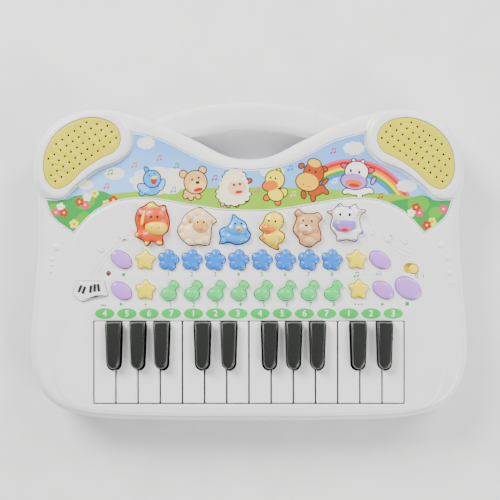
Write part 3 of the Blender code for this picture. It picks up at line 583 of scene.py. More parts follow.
def animal_loop(name):
    """The outline of an animal button, counter-clockwise."""
    centre, points = ANIMALS[name]
    return moved(smooth_loop(points, 5), centre)[::-1]


def bottom_shell():
    """The violet lower case."""
    hollow = ((4.4, 4.2), (WALL, 6.0), (WALL, SPLIT), (0.3, SPLIT))
    inner = [*[(grown(CASE, -inset), height) for inset, height in hollow], (CASE, SPLIT - 0.3)]
    outer = [(grown(CASE, -inset), 2.0 + drop) for inset, drop in rounding(3.2, 8)]
    shell = stack("bottom_shell", [*inner, *outer])
    carve(shell, handle_space())
    recess = filleted(oblong(-33.5, 3, 33.5, 62), 2.0)
    wells = [[(disc(3.2, place, 32), z) for z in (1.0, 3.9)] for place in SCREW_PLACES]
    slot_places = [(x, y) for x in (-100, 100) for y in (-14, -8, -2, 4, 10, 16)]
    slots = [[(moved(pill(24, 2.2), place), z) for z in (1.0, 3.8)] for place in slot_places]
    carve(shell, case_tools([[(recess, 1.0), (recess, 3.95)], *wells, *slots]))
    dress(shell, VIOLET, 35)
    return stand_for(shell, "bottom_case")


def underside():
    """Rubber feet, case screws and the battery door with its latch and finger ridges."""
    # Soft grey rubber: dull, and a little rough where it grips
    rubber = moulded("grey_rubber_feet", "#3C3C40", rough=0.75, grain=0.5, relief=0.03)
    feet = bmesh.new()
    for place in FOOT_PLACES:
        rings = [(disc(8 - i, place), 0.05 + d) for i, d in reversed(rounding(0.8, 4))]
        ring_solid(feet, [*rings, (disc(8, place), 2.3)])
    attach(settle("rubber_feet", feet, rubber), "case")
    # Zinc-plated steel: a pale bare metal in the dark wells
    steel = blank("zinc_plated_screw_steel", "#C9CCD2", metallic=1.0)[0]
    heads = bmesh.new()
    for place in SCREW_PLACES:
        head = ((1.0, 2.5), (2.1, 2.65), (2.75, 3.05), (2.8, 3.92))
        ring_solid(heads, [(disc(radius, place, 32), z) for radius, z in head])
    screws = settle("case_screws", heads, steel)
    for a, b in ((1.7, 0.3), (0.3, 1.7)):
        arm = filleted(oblong(-a, -b, a, b), 0.1)
        turned = [moved(arm, place, math.radians(turn)) for place, turn in zip(SCREW_PLACES, SCREW_TURNS)]
        carve(screws, case_tools([[(loop, 2.0), (loop, 3.2)] for loop in turned]))
    dress(screws, steel)
    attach(screws, "case")
    loop = filleted(oblong(-33.1, 3.4, 33.1, 61.6), 1.8)
    door = stack("door", [*[(grown(loop, -i), 2.0 + d) for i, d in reversed(rounding(0.5, 3))], (loop, 3.8)])
    latch = filleted(oblong(-9, 50, 9, 60.5), 2.0)
    grooves = [[(grown(latch, 0.5), 1.0), (grown(latch, 0.5), 2.7)]]
    grooves += [[(moved(pill(30, 1.4), (0, y)), z) for z in (1.0, 2.5)] for y in (12, 15, 18, 21, 24)]
    carve(door, case_tools(grooves))
    carve(door, stack("tab", [(latch, 2.3), (latch, 2.75)]), "UNION")
    dress(door, VIOLET)
    stand_for(door, "battery_door")


def ribbon(points, half, steps=6):
    """The outline of a narrow band along a smooth line."""
    line = smooth_run(points, steps)
    left, right = [], []
    for i, point in enumerate(line):
        way = (line[min(i + 1, len(line) - 1)] - line[max(i - 1, 0)]).normalized()
        side = Vector((-way.y, way.x)) * half * min(1, 0.25 + 2.5 * min(i, len(line) - 1 - i) / len(line))
        left.append(point - side)
        right.append(point + side)
    return left + right[::-1]


# Low relief moulded into the case: bubbles with their radii, stars with their reach and turn, and the trails
BUBBLES = (
    (-147.6, 10.5, 3.2), (-143.1, 14.3, 1.3), (-151.4, 1.6, 2.0), (-151.1, -2.8, 1.6), (-152.0, -8.0, 1.6),
    (-152.7, -13.7, 1.0),
    (-156.2, -28.3, 0.9), (-157.4, -34.0, 0.8), (-158.0, -41.0, 0.9), (-156.2, -48.9, 0.8), (147.0, 12.1, 2.9),
    (150.9, 15.6, 1.3),
    (152.5, 2.2, 2.5), (154.3, -9.2, 2.2), (154.3, -16.9, 1.3), (155.3, -25.1, 1.1), (157.1, -37.2, 0.9),
    (157.3, -48.6, 0.8),
)
RELIEF_STARS = ((-96.1, 18.8, 4.6, 12), (-113.3, 8.6, 2.6, -8), (106.7, 17.5, 4.3, -10), (94.3, 21.6, 2.5, 8),
    (119.4, 14.6, 2.5, 20))
TRAILS = (
    ((-99.5, 15.0), (-106, 9.5), (-112.5, 2.5), (-117.5, -4.5), (-120.5, -11.5)), ((-98.5, 12.6), (-104, 7.4),
    (-110, 0.8), (-114.2, -5.5), (-116.6, -10.5)),
    ((108.2, 13.0), (112.5, 8.8), (118.5, 5.2), (125.5, 2.8)), ((110.6, 14.0), (115.0, 10.4), (120.5, 7.2),
    (127.5, 5.2)),
)


def relief(shell):
    """Stars, trails and bubbles raised a little from the white plastic."""
    ground = BVHTree.FromObject(shell, bpy.context.evaluated_depsgraph_get())

    def height(x, y):
        return ground.ray_cast(Vector((x * MM, y * MM, 0.1)), Vector((0, 0, -1)))[0].z / MM

    shape = bmesh.new()
    for x, y, r in BUBBLES:
        ball(shape, (x, y, height(x, y) - 0.5), (r, r, 0.5 + min(0.9, 0.45 * r)), sides=(24, 12))
    for x, y, reach, turn in RELIEF_STARS:
        loop = moved(star_loop(reach, reach * 0.55, 0.16 * reach, 0.12 * reach), (x, y), math.radians(turn))
        ring_solid(shape, slab(loop, height(x, y) - 0.3, height(x, y) + 0.9, 0.1 * reach, 4))
    for line in TRAILS:
        low = height(*line[0])
        ring_solid(shape, slab(ribbon(line, 0.55), low - 0.3, low + 0.35, 0.12, 2))
    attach(settle("moulded_relief", shape, WHITE), "case")


def brushed(name, colour, rough, grain):
    """Bare metal: drawn along its length, so highlights stretch into fine streaks."""
    made, tree, shader, where = blank(name, colour, metallic=1.0)
    along = add(tree, "Mapping", Vector=where)
    along.inputs["Scale"].default_value = (40, 1500, 1500)
    noise = add(tree, "TexNoise", Vector=along.outputs[0], Scale=1.0, Detail=3.0)
    spread = add(tree, "MapRange", i0=noise.outputs["Fac"], i1=0.3, i2=0.7, i3=rough - grain, i4=rough + grain)
    tree.links.new(spread.outputs[0], shader.inputs["Roughness"])
    return made


def circuit(name):
    """Circuit board: green solder mask with copper tracks showing through and tinned joints."""
    made, tree, shader, where = blank(name, "#14562B", coat=0.2)
    shader.inputs["Roughness"].default_value = 0.35
    tracks = add(
        tree, "TexBrick", {"offset": 0.37, "squash": 0.6}, Vector=where,
        Color1=paint("#14562B"), Color2=paint("#18652F"), Mortar=paint("#3E9A4A"), Scale=90.0,
    )
    tracks.inputs["Mortar Size"].default_value = 0.05
    spots = add(tree, "TexVoronoi", Vector=where, Scale=260.0)
    joint = add(tree, "Math", {"operation": "LESS_THAN"}, i0=spots.outputs["Distance"], i1=0.16)
    mixed = add(tree, "Mix", {"data_type": "RGBA"}, i0=joint.outputs[0], i6=tracks.outputs[0], i7=paint("#B9BCC0"))
    tree.links.new(mixed.outputs[2], shader.inputs["Base Color"])
    tree.links.new(joint.outputs[0], shader.inputs["Metallic"])
    return made


def banded(name, axis, edges, hues, rough):
    """A printed foil sleeve: colour bands along one axis, from the lowest place up."""
    made, tree, shader, where = blank(name, hues[0], coat=0.4)
    shader.inputs["Roughness"].default_value = rough
    parts = add(tree, "SeparateXYZ", Vector=where)
    along = add(tree, "MapRange", i0=parts.outputs[axis], i1=edges[0] * MM, i2=edges[-1] * MM)
    ramp = add(tree, "ValToRGB", Fac=along.outputs[0])
    ramp.color_ramp.interpolation = "CONSTANT"
    ramp.color_ramp.elements[0].color = paint(hues[0])
    ramp.color_ramp.elements[1].position, ramp.color_ramp.elements[1].color = 0.999, paint(hues[-1])
    for edge, hue in zip(edges[1:-1], hues[1:-1]):
        ramp.color_ramp.elements.new((edge - edges[0]) / (edges[-1] - edges[0])).color = paint(hue)
    tree.links.new(ramp.outputs[0], shader.inputs["Base Color"])
    return made


def insides():
    """Procedural finishes for the parts that keep their own shape."""
    # Silicone rubber: dull grey and very even
    silicone = moulded("grey_silicone_rubber", "#8C8F96", rough=0.7, grain=0.8, relief=0.02)
    # Pressed paper pulp: almost black, fibrous and without gloss
    paper = moulded("pressed_paper_cone", "#2A2826", rough=0.85, grain=0.9, relief=0.05, drift=0.15)
    # Shrunk foil sleeve: black and copper bands under a clear gloss
    sleeve = banded("printed_cell_sleeve", "Y", (5, 40, 55, 62), ("#1B1C20", "#B8712E", "#1B1C20", "#C9CCD2"), 0.3)
    # Glass-filled nylon: a dull black with a fine rough skin
    nylon = moulded("black_glass_filled_nylon", "#1A1A1C", rough=0.5, grain=0.3, relief=0.02)
    finishes = {
        "batteries": sleeve,
        "speaker_left": paper, "speaker_right": paper,
        "key_pivot_rod": brushed("drawn_steel_rod", "#B6B8BC", 0.32, 0.12),
        "key_contact_strip": silicone, "button_contact_mat": silicone,
        "key_board": circuit("green_circuit_board"), "button_board": circuit("green_main_board"),
        "power_switch_body": nylon,
    }
    for name, finish in finishes.items():
        node = bpy.data.objects[name]
        for slot in node.material_slots:
            slot.material = finish


def handle():
    """The round-edged grip between the ears, swept from one end to the other, with its two collars."""
    rear_half = ((32, 121.4), (60, 115), (84, 105.5))
    front_half = ((24, 100.8), (46.5, 95.8), (62, 92.8), (74, 95.5))
    rear = smooth_run([*mirror(rear_half)[::-1], (0, 123.3), *rear_half], 6)
    front = smooth_run([*mirror(front_half)[::-1], (0, 102.7), *front_half], 6)
    collars, groove = (0.19, 0.81), 0.0011
    steps, sides, squareness = 60, 40, 0.55
    parts = sorted([*(i / steps for i in range(steps + 1)), *(c + d for c in collars for d in (-0.004, groove, 0.005))])
    rows = []
    for part in parts:
        ends = []
        for line in (rear, front):
            at = part * (len(line) - 1)
            k = min(int(at), len(line) - 2)
            ends.append(line[k].lerp(line[k + 1], at - k))
        middle, half = (ends[0] + ends[1]) / 2, (ends[0] - ends[1]) / 2
        shrink = 0.93 if min(abs(part - c - groove) for c in collars) < 0.0005 else 1.0
        row = []
        for k in range(sides):
            turn = 2 * math.pi * (k + 0.5) / sides
            c, t = math.cos(turn), math.sin(turn)
            place = middle + half * (math.copysign(abs(c) ** squareness, c) * shrink)
            tall = math.copysign(abs(t) ** squareness, t) * shrink
            row.append((place.x, place.y, GRIP_MIDDLE + GRIP_HALF * tall))
        rows.append(row)
    shape = bmesh.new()
    drawn_solid(shape, rows)
    return stand_for(settle("grip", shape, WHITE, 30), "carry_handle")


KEY_TAPER = 1.1
KEY_GAP = 1.2


def finger(half, tip, reach, rear=KEY_REAR, steps=16):
    """A black key's outline in plan, round at its front."""
    turns = [math.pi + math.pi * i / steps for i in range(steps + 1)]
    front = [Vector(((half - KEY_TAPER) * math.cos(a), tip + reach + reach * math.sin(a))) for a in turns]
    return [*front, Vector((half, rear)), Vector((-half, rear))]


def white_plan(index):
    """A white key's outline in plan, with its corners cut back round the black keys."""
    left = KEYS_LEFT + index * KEY_PITCH + KEY_GAP / 2
    right = left + KEY_PITCH - KEY_GAP
    corners = [(left, KEY_REAR), (left, KEY_FRONT), (right, KEY_FRONT), (right, KEY_REAR)]
    half, tip, reach = BLACK_HALF + 0.5, BLACK_TIP - 0.9, 5.0
    slim = half - KEY_TAPER
    if index in BLACK_AFTER:
        middle = black_centre(index)
        first = math.acos((right - middle) / slim)
        turns = [-first - (math.pi - first) * i / 10 for i in range(11)]
        curve = [(middle + slim * math.cos(a), tip + reach + reach * math.sin(a)) for a in turns]
        corners = [*corners[:3], *curve, (middle - half, KEY_REAR)]
    if index - 1 in BLACK_AFTER:
        middle = black_centre(index - 1)
        first = math.acos((left - middle) / slim)
        turns = [-first * (1 - i / 10) for i in range(10, -1, -1)]
        curve = [(middle + slim * math.cos(a), tip + reach + reach * math.sin(a)) for a in turns]
        corners = [(middle + half, KEY_REAR), *curve, *corners[1:]]
    return filleted(corners, 0.9, 4)


def add_tail(key, left, right, middle):
    """The hinge tail and the plunger under a key."""
    shape = bmesh.new()
    block(shape, (left + 0.02, KEY_REAR - 4, 25.4), (right - 0.02, -33.6, 33.0))
    carve(key, settle("tail", shape), "UNION")
    shape = bmesh.new()
    block(shape, (middle - 2, -62, 21.7), (middle + 2, -58, 29))
    carve(key, settle("plunger", shape), "UNION")


def white_key(index):
    name = f"white_key_{index + 1:02d}"
    plan = white_plan(index)
    key = stack("ivory_" + name, slab(plan, KEY_UNDER, KEY_TOP, 0.8, 4))
    near = [p.x for p in plan if p.y > -60]
    add_tail(key, min(near), max(near), (min(near) + max(near)) / 2)
    dress(key, KEY_WHITE)
    return stand_for(key, name, name)


def black_key(number, index):
    name = f"black_key_{number:02d}"
    middle = black_centre(index)
    rings = []
    profile = (
        (5.8, 0, 27), (5.8, 0, 39), (5.72, 0.2, 43.4), (5.6, 0.6, 45), (5.42, 1.2, 46), (5.2, 1.8, 46.6),
        (4.95, 2.4, 46.9), (4.6, 3.0, BLACK_TOP),
    )
    for half, back, height in profile:
        outline = finger(half, BLACK_TIP + back, 5.0, KEY_REAR - (BLACK_HALF - half) * 0.8)
        rings.append((moved(outline, (middle, 0)), height))
    key = stack("ebony_" + name, rings)
    add_tail(key, middle - 5.78, middle + 5.78, middle)
    dress(key, BLACK)
    return stand_for(key, name, name)


def cap_with_stem(name, rings, finish, node, centre):
    """A button cap joined to its stem."""
    cap = stack(name, rings)
    stem = stack("stem", [(disc(2, centre, 16), z) for z in (32.2, 36.0)])
    carve(cap, stem, "UNION")
    dress(cap, finish)
    return stand_for(cap, node, node)


def plain_buttons():
    for name, (centre, across, along) in OVALS.items():
        loop = moved(ellipse(across, along), centre, OVAL_TURN)
        cap_with_stem(name + "_cap", dome(loop, centre, CAP_FOOT, CAP_SHOULDER, CAP), LILAC, name, centre)
    for name, centre in STARS.items():
        loop = moved(STAR, centre, STAR_TURN)
        rings = dome(loop, centre, CAP_FOOT, 39.7, CAP + 0.3)
        cap_with_stem(name + "_cap", rings, YELLOW, name, centre)
    for node, cap_loop, row, finish in (("rhythm_buttons", FLOWER, 0, SKY), ("song_buttons", LUTE, 1, GREEN)):
        shape = bmesh.new()
        for centre in strip_centres(row):
            loop = moved(cap_loop, centre)
            if row == 0:
                ring_solid(shape, dome(loop, centre, CAP_FOOT, CAP_SHOULDER, CAP))
            else:
                ring_solid(shape, slab(loop, CAP_FOOT, CAP - 0.3, 0.6, 5))
        caps = settle(node + "_caps", shape)
        bar = bmesh.new()
        first, y = STRIP_FIRST[row], ROWS[row]
        block(bar, (first - 5, y - 2, 33.5), (first + 7 * STRIP_PITCH + 5, y + 2, 35.3))
        carve(caps, settle("bar", bar), "UNION")
        dress(caps, finish)
        stand_for(caps, node, node)
        bumps = bmesh.new()
        for x, y in strip_centres(row):
            if row == 0:
                for turn in (math.radians(81 + 72 * i) for i in range(5)):
                    petal = (x + 4.2 * math.cos(turn), y + 4.2 * math.sin(turn), 40.4)
                    ball(bumps, petal, (2.5, 2.5, 1.2), sides=(16, 10))
            else:
                ball(bumps, (x - 1.4, y - 2.8, 40.7), (4.7, 3.8, 1.3), sides=(28, 14))
                ball(bumps, (x + 3.2, y + 4.5, 40.7), (2.3, 1.9, 0.9), 35, sides=(20, 12))
        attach(settle(node + "_crowns", bumps, finish, 180), node)


def grille(side):
    """A yellow grille plate with its field of round holes."""
    rim = grown(GRILLE_LOOP, -2.6)
    holes = []
    for row in range(-9, 10):
        for column in range(-9, 10):
            step = Vector((column * HOLE_PITCH, row * HOLE_PITCH))
            step.rotate(Matrix.Rotation(HOLE_TURN, 2))
            spot = SPEAKER_PLACE + step
            if nearest_inside(spot, rim, 0) == spot:
                holes.append(spot)
    flip = mirror if side == "right" else list
    plate = stack("grille_" + side, [(flip(loop), z) for loop, z in slab(GRILLE_LOOP, *GRILLE, 0.7, 4)])
    cutters = [hole_rings(disc(0.85, spot, 16), 38.5, GRILLE[1], 0.15, 2) for spot in holes]
    carve(plate, case_tools([[(flip(loop), z) for loop, z in rings] for rings in cutters]))
    dress(plate, GRILLE_YELLOW)
    return stand_for(plate, "speaker_grille_" + side)


# Animal buttons

COATS = {
    "orange": "#DE4E10", "peach": "#FBDDAA", "blue": "#2C9EF4", "gold": "#FFE000", "tan": "#DEA468",
    "milk": "#F6F5F0", "mane": "#FFDA10",
    "face": "#F2B050", "pink": "#E8648C", "soft_pink": "#EE9AA4", "lavender": "#9474EC", "beak": "#EE7A10",
    "red": "#C81C14",
    "muzzle": "#EFC48E", "jet": "#16120F",
}
COAT_FINISHES = {}
# Main colour and rounded masses: middle, half sizes, turn and height of the middle
BODIES = {
    "horse_button": ("orange", (
        (-72.0, 33.0, 9.6, 8.2, 0, 41.2, 4.6), (-73.6, 18.6, 9.6, 6.2, 0, 40.0, 3.6),
        (-83.4, 20.0, 4.0, 2.6, 10, 40.0, 2.8),
        (-77.6, 14.6, 3.2, 4.2, 0, 40.0, 2.8), (-68.2, 15.4, 3.2, 4.0, 0, 40.0, 2.8),
        (-82.2, 37.4, 3.4, 3.4, 30, 40.6, 3.0),
        (-65.0, 39.4, 3.2, 3.6, -30, 40.6, 3.0), (-63.6, 20.0, 2.6, 3.4, 0, 40.0, 2.6))),
    "sheep_button": ("peach", (
        (-41.5, 21.5, 11.5, 8.0, 0, 40.2, 4.0), (-50.8, 24.6, 3.8, 3.8, 0, 40.2, 3.4),
        (-49.8, 19.0, 3.9, 3.8, 0, 40.2, 3.4),
        (-45.6, 15.0, 3.9, 3.6, 0, 40.2, 3.4), (-38.6, 14.8, 3.9, 3.4, 0, 40.2, 3.4),
        (-33.2, 16.6, 3.8, 3.8, 0, 40.2, 3.4),
        (-31.6, 22.6, 3.4, 3.8, 0, 40.2, 3.4), (-49.2, 29.8, 3.6, 3.4, 0, 40.4, 3.4),
        (-43.8, 34.4, 3.9, 3.8, 0, 41.4, 3.8),
        (-38.8, 36.9, 3.9, 3.6, 0, 41.6, 3.9), (-33.8, 35.2, 3.8, 3.4, 0, 41.4, 3.7),
        (-36.8, 31.5, 7.6, 6.2, 0, 41.4, 4.0))),
    "bird_button": ("blue", (
        (-9.0, 25.6, 8.2, 7.4, 0, 41.0, 4.4), (-10.8, 18.0, 8.6, 5.2, 0, 40.0, 3.4),
        (-19.2, 19.6, 3.2, 2.0, 35, 40.0, 2.5),
        (-20.2, 15.6, 2.8, 1.8, 15, 40.0, 2.5), (-0.4, 18.6, 2.6, 2.0, -30, 40.0, 2.5),
        (-1.8, 15.6, 2.4, 1.8, -10, 40.0, 2.5),
        (-12.0, 33.0, 1.7, 3.0, 10, 41.0, 2.7), (-8.8, 32.4, 1.6, 2.4, -20, 41.0, 2.7))),
    "duck_button": ("gold", (
        (18.8, 30.4, 7.6, 6.8, 0, 41.2, 4.6), (18.4, 18.2, 7.0, 6.0, 20, 40.0, 3.7),
        (24.0, 19.0, 3.2, 3.6, 20, 40.8, 3.6),
        (21.2, 36.0, 2.0, 2.6, -25, 41.2, 2.7), (11.0, 17.0, 2.6, 2.4, 0, 40.0, 2.6),
        (21.0, 11.4, 1.9, 2.6, 0, 40.0, 2.6))),
    "bear_button": ("tan", (
        (45.0, 28.6, 8.8, 7.9, 0, 41.4, 4.7), (45.0, 17.6, 8.6, 6.8, 0, 40.0, 3.8),
        (38.0, 36.6, 2.9, 2.9, 0, 41.0, 3.3),
        (53.6, 34.2, 2.8, 2.8, 0, 41.0, 3.3), (36.4, 22.4, 2.8, 3.4, 20, 40.2, 2.8),
        (52.6, 18.0, 2.6, 3.4, -20, 40.2, 2.8),
        (42.4, 12.8, 3.2, 2.6, 0, 40.0, 2.9), (49.0, 12.9, 3.2, 2.6, 0, 40.0, 2.9))),
    "cow_button": ("milk", (
        (73.0, 34.6, 9.2, 7.4, 0, 41.2, 4.5), (75.4, 20.8, 9.6, 6.0, 0, 40.0, 3.7),
        (63.0, 36.4, 3.6, 2.3, 20, 40.8, 2.8),
        (84.4, 37.2, 4.4, 2.3, -12, 40.8, 2.8), (69.6, 17.6, 2.9, 3.2, 0, 40.0, 2.8),
        (80.2, 17.4, 2.9, 3.2, 0, 40.0, 2.8),
        (65.2, 24.0, 3.0, 3.0, 0, 40.0, 2.7), (84.8, 23.0, 3.2, 2.6, -10, 40.0, 2.7))),
}
# Coloured pieces: colour, middle, half sizes, turn and how far each one stands proud
FEATURES = {
    "horse_button": (
        ("mane", -73.6, 41.4, 4.6, 3.4, 0, 1.5), ("mane", -80.6, 33.0, 1.5, 6.0, -12, 0.9),
        ("mane", -70.9, 25.6, 8.6, 6.3, -4, 4.2),
        ("soft_pink", -65.2, 39.2, 1.5, 1.9, -30, 0.5), ("soft_pink", -82.2, 37.2, 1.5, 1.7, 30, 0.5),
        ("jet", -74.2, 33.6, 0.9, 1.1, 0, 0.6),
        ("jet", -69.6, 33.6, 0.9, 1.1, 0, 0.6), ("orange", -73.6, 25.6, 0.7, 0.5, 0, 0.3),
        ("orange", -68.4, 25.4, 0.7, 0.5, 0, 0.3),
        ("mane", -86.0, 20.2, 1.6, 2.0, 0, 0.8), ("mane", -77.4, 12.8, 2.2, 1.5, 0, 0.8),
        ("mane", -68.5, 13.9, 2.2, 1.5, 0, 0.8)),
    "sheep_button": (
        ("face", -36.9, 27.2, 6.2, 6.0, 0, 2.2), ("face", -27.6, 29.4, 2.3, 1.5, -35, 1.0),
        ("face", -45.6, 31.0, 2.3, 1.5, 30, 0.9),
        ("jet", -38.9, 29.5, 0.8, 1.0, 0, 0.5), ("jet", -34.3, 29.5, 0.8, 1.0, 0, 0.5),
        ("pink", -36.4, 24.8, 1.9, 1.1, 0, 0.5)),
    "bird_button": (
        ("milk", -13.2, 26.0, 1.9, 1.5, 0, 0.3), ("milk", -3.9, 26.0, 1.7, 1.5, 0, 0.3),
        ("mane", -7.7, 24.8, 2.2, 2.4, 0, 1.6),
        ("red", -7.7, 24.0, 1.3, 0.9, 0, 0.3), ("jet", -10.5, 28.5, 0.8, 1.0, 0, 0.5),
        ("jet", -5.9, 28.5, 0.8, 1.0, 0, 0.5)),
    "duck_button": (
        ("beak", 14.8, 25.0, 5.8, 4.2, 8, 3.4), ("beak", 10.4, 17.0, 2.0, 1.8, 30, 0.7),
        ("beak", 20.8, 10.9, 1.5, 1.9, 0, 0.7),
        ("jet", 15.2, 30.6, 0.8, 1.0, 0, 0.5), ("jet", 20.0, 30.2, 0.8, 1.0, 0, 0.5)),
    "bear_button": (
        ("muzzle", 43.2, 25.0, 5.6, 4.4, 0, 1.9), ("soft_pink", 38.0, 36.8, 1.5, 1.5, 0, 0.4),
        ("soft_pink", 53.5, 34.2, 1.5, 1.5, 0, 0.4),
        ("jet", 43.4, 26.8, 1.6, 1.1, 0, 0.6), ("jet", 41.2, 31.0, 0.8, 1.0, 0, 0.5),
        ("jet", 47.6, 30.4, 0.8, 1.0, 0, 0.5),
        ("pink", 42.6, 22.7, 2.2, 0.9, 0, 0.3), ("muzzle", 45.4, 16.6, 4.4, 3.2, 0, 0.3)),
    "cow_button": (
        ("lavender", 68.2, 42.4, 1.3, 1.8, 15, 1.0), ("lavender", 76.4, 42.6, 1.3, 1.8, -10, 1.0),
        ("lavender", 72.8, 27.4, 9.3, 6.2, -3, 4.2),
        ("pink", 72.8, 25.2, 5.4, 2.6, -3, 0.3), ("red", 72.8, 24.0, 3.0, 1.1, 0, 0.4),
        ("jet", 69.4, 35.4, 1.0, 1.3, 0, 0.5),
        ("jet", 76.4, 35.2, 1.0, 1.3, 0, 0.5), ("soft_pink", 62.6, 36.6, 1.9, 1.0, 20, 0.4),
        ("soft_pink", 85.0, 37.4, 2.2, 1.0, -12, 0.4),
        ("lavender", 69.4, 29.8, 0.9, 0.6, 0, 0.5), ("lavender", 76.0, 29.6, 0.9, 0.6, 0, 0.5),
        ("lavender", 69.4, 16.2, 1.8, 1.0, 0, 0.5),
        ("lavender", 80.6, 16.2, 1.8, 1.0, 0, 0.5), ("lavender", 86.4, 22.4, 1.0, 1.3, 0, 0.5)),
}


def coat(shade):
    """Soft vinyl-like plastic of the animals: smooth, slightly waxy, with light scattering just under its surface."""
    if shade not in COAT_FINISHES:
        rough, glow = (0.12, 0.0) if shade == "jet" else (0.3, 0.1)
        COAT_FINISHES[shade] = moulded(
            "waxy_pvc_" + shade, COATS[shade], rough=rough, grain=0.8, relief=0.01, drift=0.03, ior=1.52, glow=glow,
        )
    return COAT_FINISHES[shade]


def ball(shape, middle, sizes, turn=0.0, wall=None, sides=(28, 18)):
    """Adds an ellipsoid; with a wall it is pressed in so that it stays within that outline."""
    spun = Matrix.Rotation(math.radians(turn), 4, "Z")
    place = Matrix.Translation(Vector(middle) * MM) @ spun @ Matrix.Diagonal((*(Vector(sizes) * MM), 1))
    made = bmesh.ops.create_uvsphere(shape, u_segments=sides[0], v_segments=sides[1], radius=1, matrix=place)
    if wall:
        for vert in made["verts"]:
            kept = nearest_inside(Vector((vert.co.x, vert.co.y)) / MM, wall, 0.5)
            vert.co.x, vert.co.y = kept.x * MM, kept.y * MM


def animal(name):
    """One animal button: its rounded body on a skirt of its own outline, then its coloured pieces."""
    short = name.split("_")[0]
    main, masses = BODIES[name]
    outline = animal_loop(name)
    shape = bmesh.new()
    ring_solid(shape, slab(grown(outline, -0.3), 33.6, 40.4, 1.4, 4))
    for x, y, a, b, turn, z, c in masses:
        ball(shape, (x, y, z), (a, b, c), turn, outline)
    body = settle(short + "_body", shape, coat(main))
    remesh = body.modifiers.new("blend", "REMESH")
    remesh.mode, remesh.voxel_size = "VOXEL", 0.42 * MM
    soften = body.modifiers.new("soften", "SMOOTH")
    soften.factor, soften.iterations = 0.5, 6
    bake(body)
    for vert in body.data.vertices:
        if 37.5 * MM < vert.co.z < 42.5 * MM:
            kept = nearest_inside(Vector((vert.co.x, vert.co.y)) / MM, outline, 0.1)
            vert.co.x, vert.co.y = kept.x * MM, kept.y * MM
    dress(body, coat(main), 180)
    stand_for(body, name, name)
    grounds = [BVHTree.FromObject(body, bpy.context.evaluated_depsgraph_get())]
    pieces = {feature[0]: bmesh.new() for feature in FEATURES[name]}
    for shade, x, y, a, b, turn, proud in FEATURES[name]:
        x, y = nearest_inside(Vector((x, y)), outline, 1.2)
        tops = [tree.ray_cast(Vector((x * MM, y * MM, 0.1)), Vector((0, 0, -1)))[0] for tree in grounds]
        top = max([t.z / MM for t in tops if t], default=40.4)
        deep = max(proud * 1.4, min(a, b) * 0.55)
        single = bmesh.new()
        ball(single, (x, y, min(top + proud, 46.9) - deep), (a, b, deep), turn, outline, (24, 14))
        grounds.append(BVHTree.FromBMesh(single))
        mesh = bpy.data.meshes.new("part")
        single.to_mesh(mesh)
        pieces[shade].from_mesh(mesh)
    for shade, piece in pieces.items():
        part = settle(f"{short}_{shade}", piece, coat(shade), 180)
        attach(part, name)


# The printed picture

SHADES = {
    "dark": "#3A2A22", "navy": "#153C5A", "white": "#FBFAF4", "cloud": "#F1EADF", "cream": "#FBF3D2",
    "peach": "#F8C48C",
    "tan": "#F0B664", "muzzle": "#FBD28A", "sky": "#3EA4F4", "wing": "#86C2FF", "yellow": "#FFEE00",
    "orange": "#E8700C",
    "red": "#C41810", "pink": "#DE2E70", "brown": "#B8480E", "lavender": "#AE80DC", "leaf": "#1C9A3C",
    "grass": "#8AC018",
    "bush": "#56B02A", "blue": "#3A70DC", "mane": "#F6BE1E",
}
INKS = {}


def ink(shade):
    """Screen-printed ink under clear film: even colour with a fine dot and a little gloss."""
    if shade not in INKS:
        INKS[shade] = moulded(
            "screen_ink_" + shade, SHADES[shade], rough=0.38, grain=0.25, relief=0.002, drift=0.05, ior=1.5,
        )
    return INKS[shade]


def printed(name, loops, level, finish, base=None, clip=True):
    """A thin layer of ink over the picture, or over the plastic at another height."""
    low = (PICTURE[1] if base is None else base) - 0.02
    shape = bmesh.new()
    for i, loop in enumerate(loops):
        ring_solid(shape, [(loop, low), (loop, low + 0.03 + 0.02 * level + 0.001 * i)])
    layer = settle(name, shape, finish)
    if clip:
        edge = grown(PICTURE_LOOP[::4], -0.9)
        window = stack("window", [(edge, low - 0.5), (edge, low + 1)])
        carve(layer, window, "INTERSECT")
        dress(layer, finish)
    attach(layer, "case")
    return layer


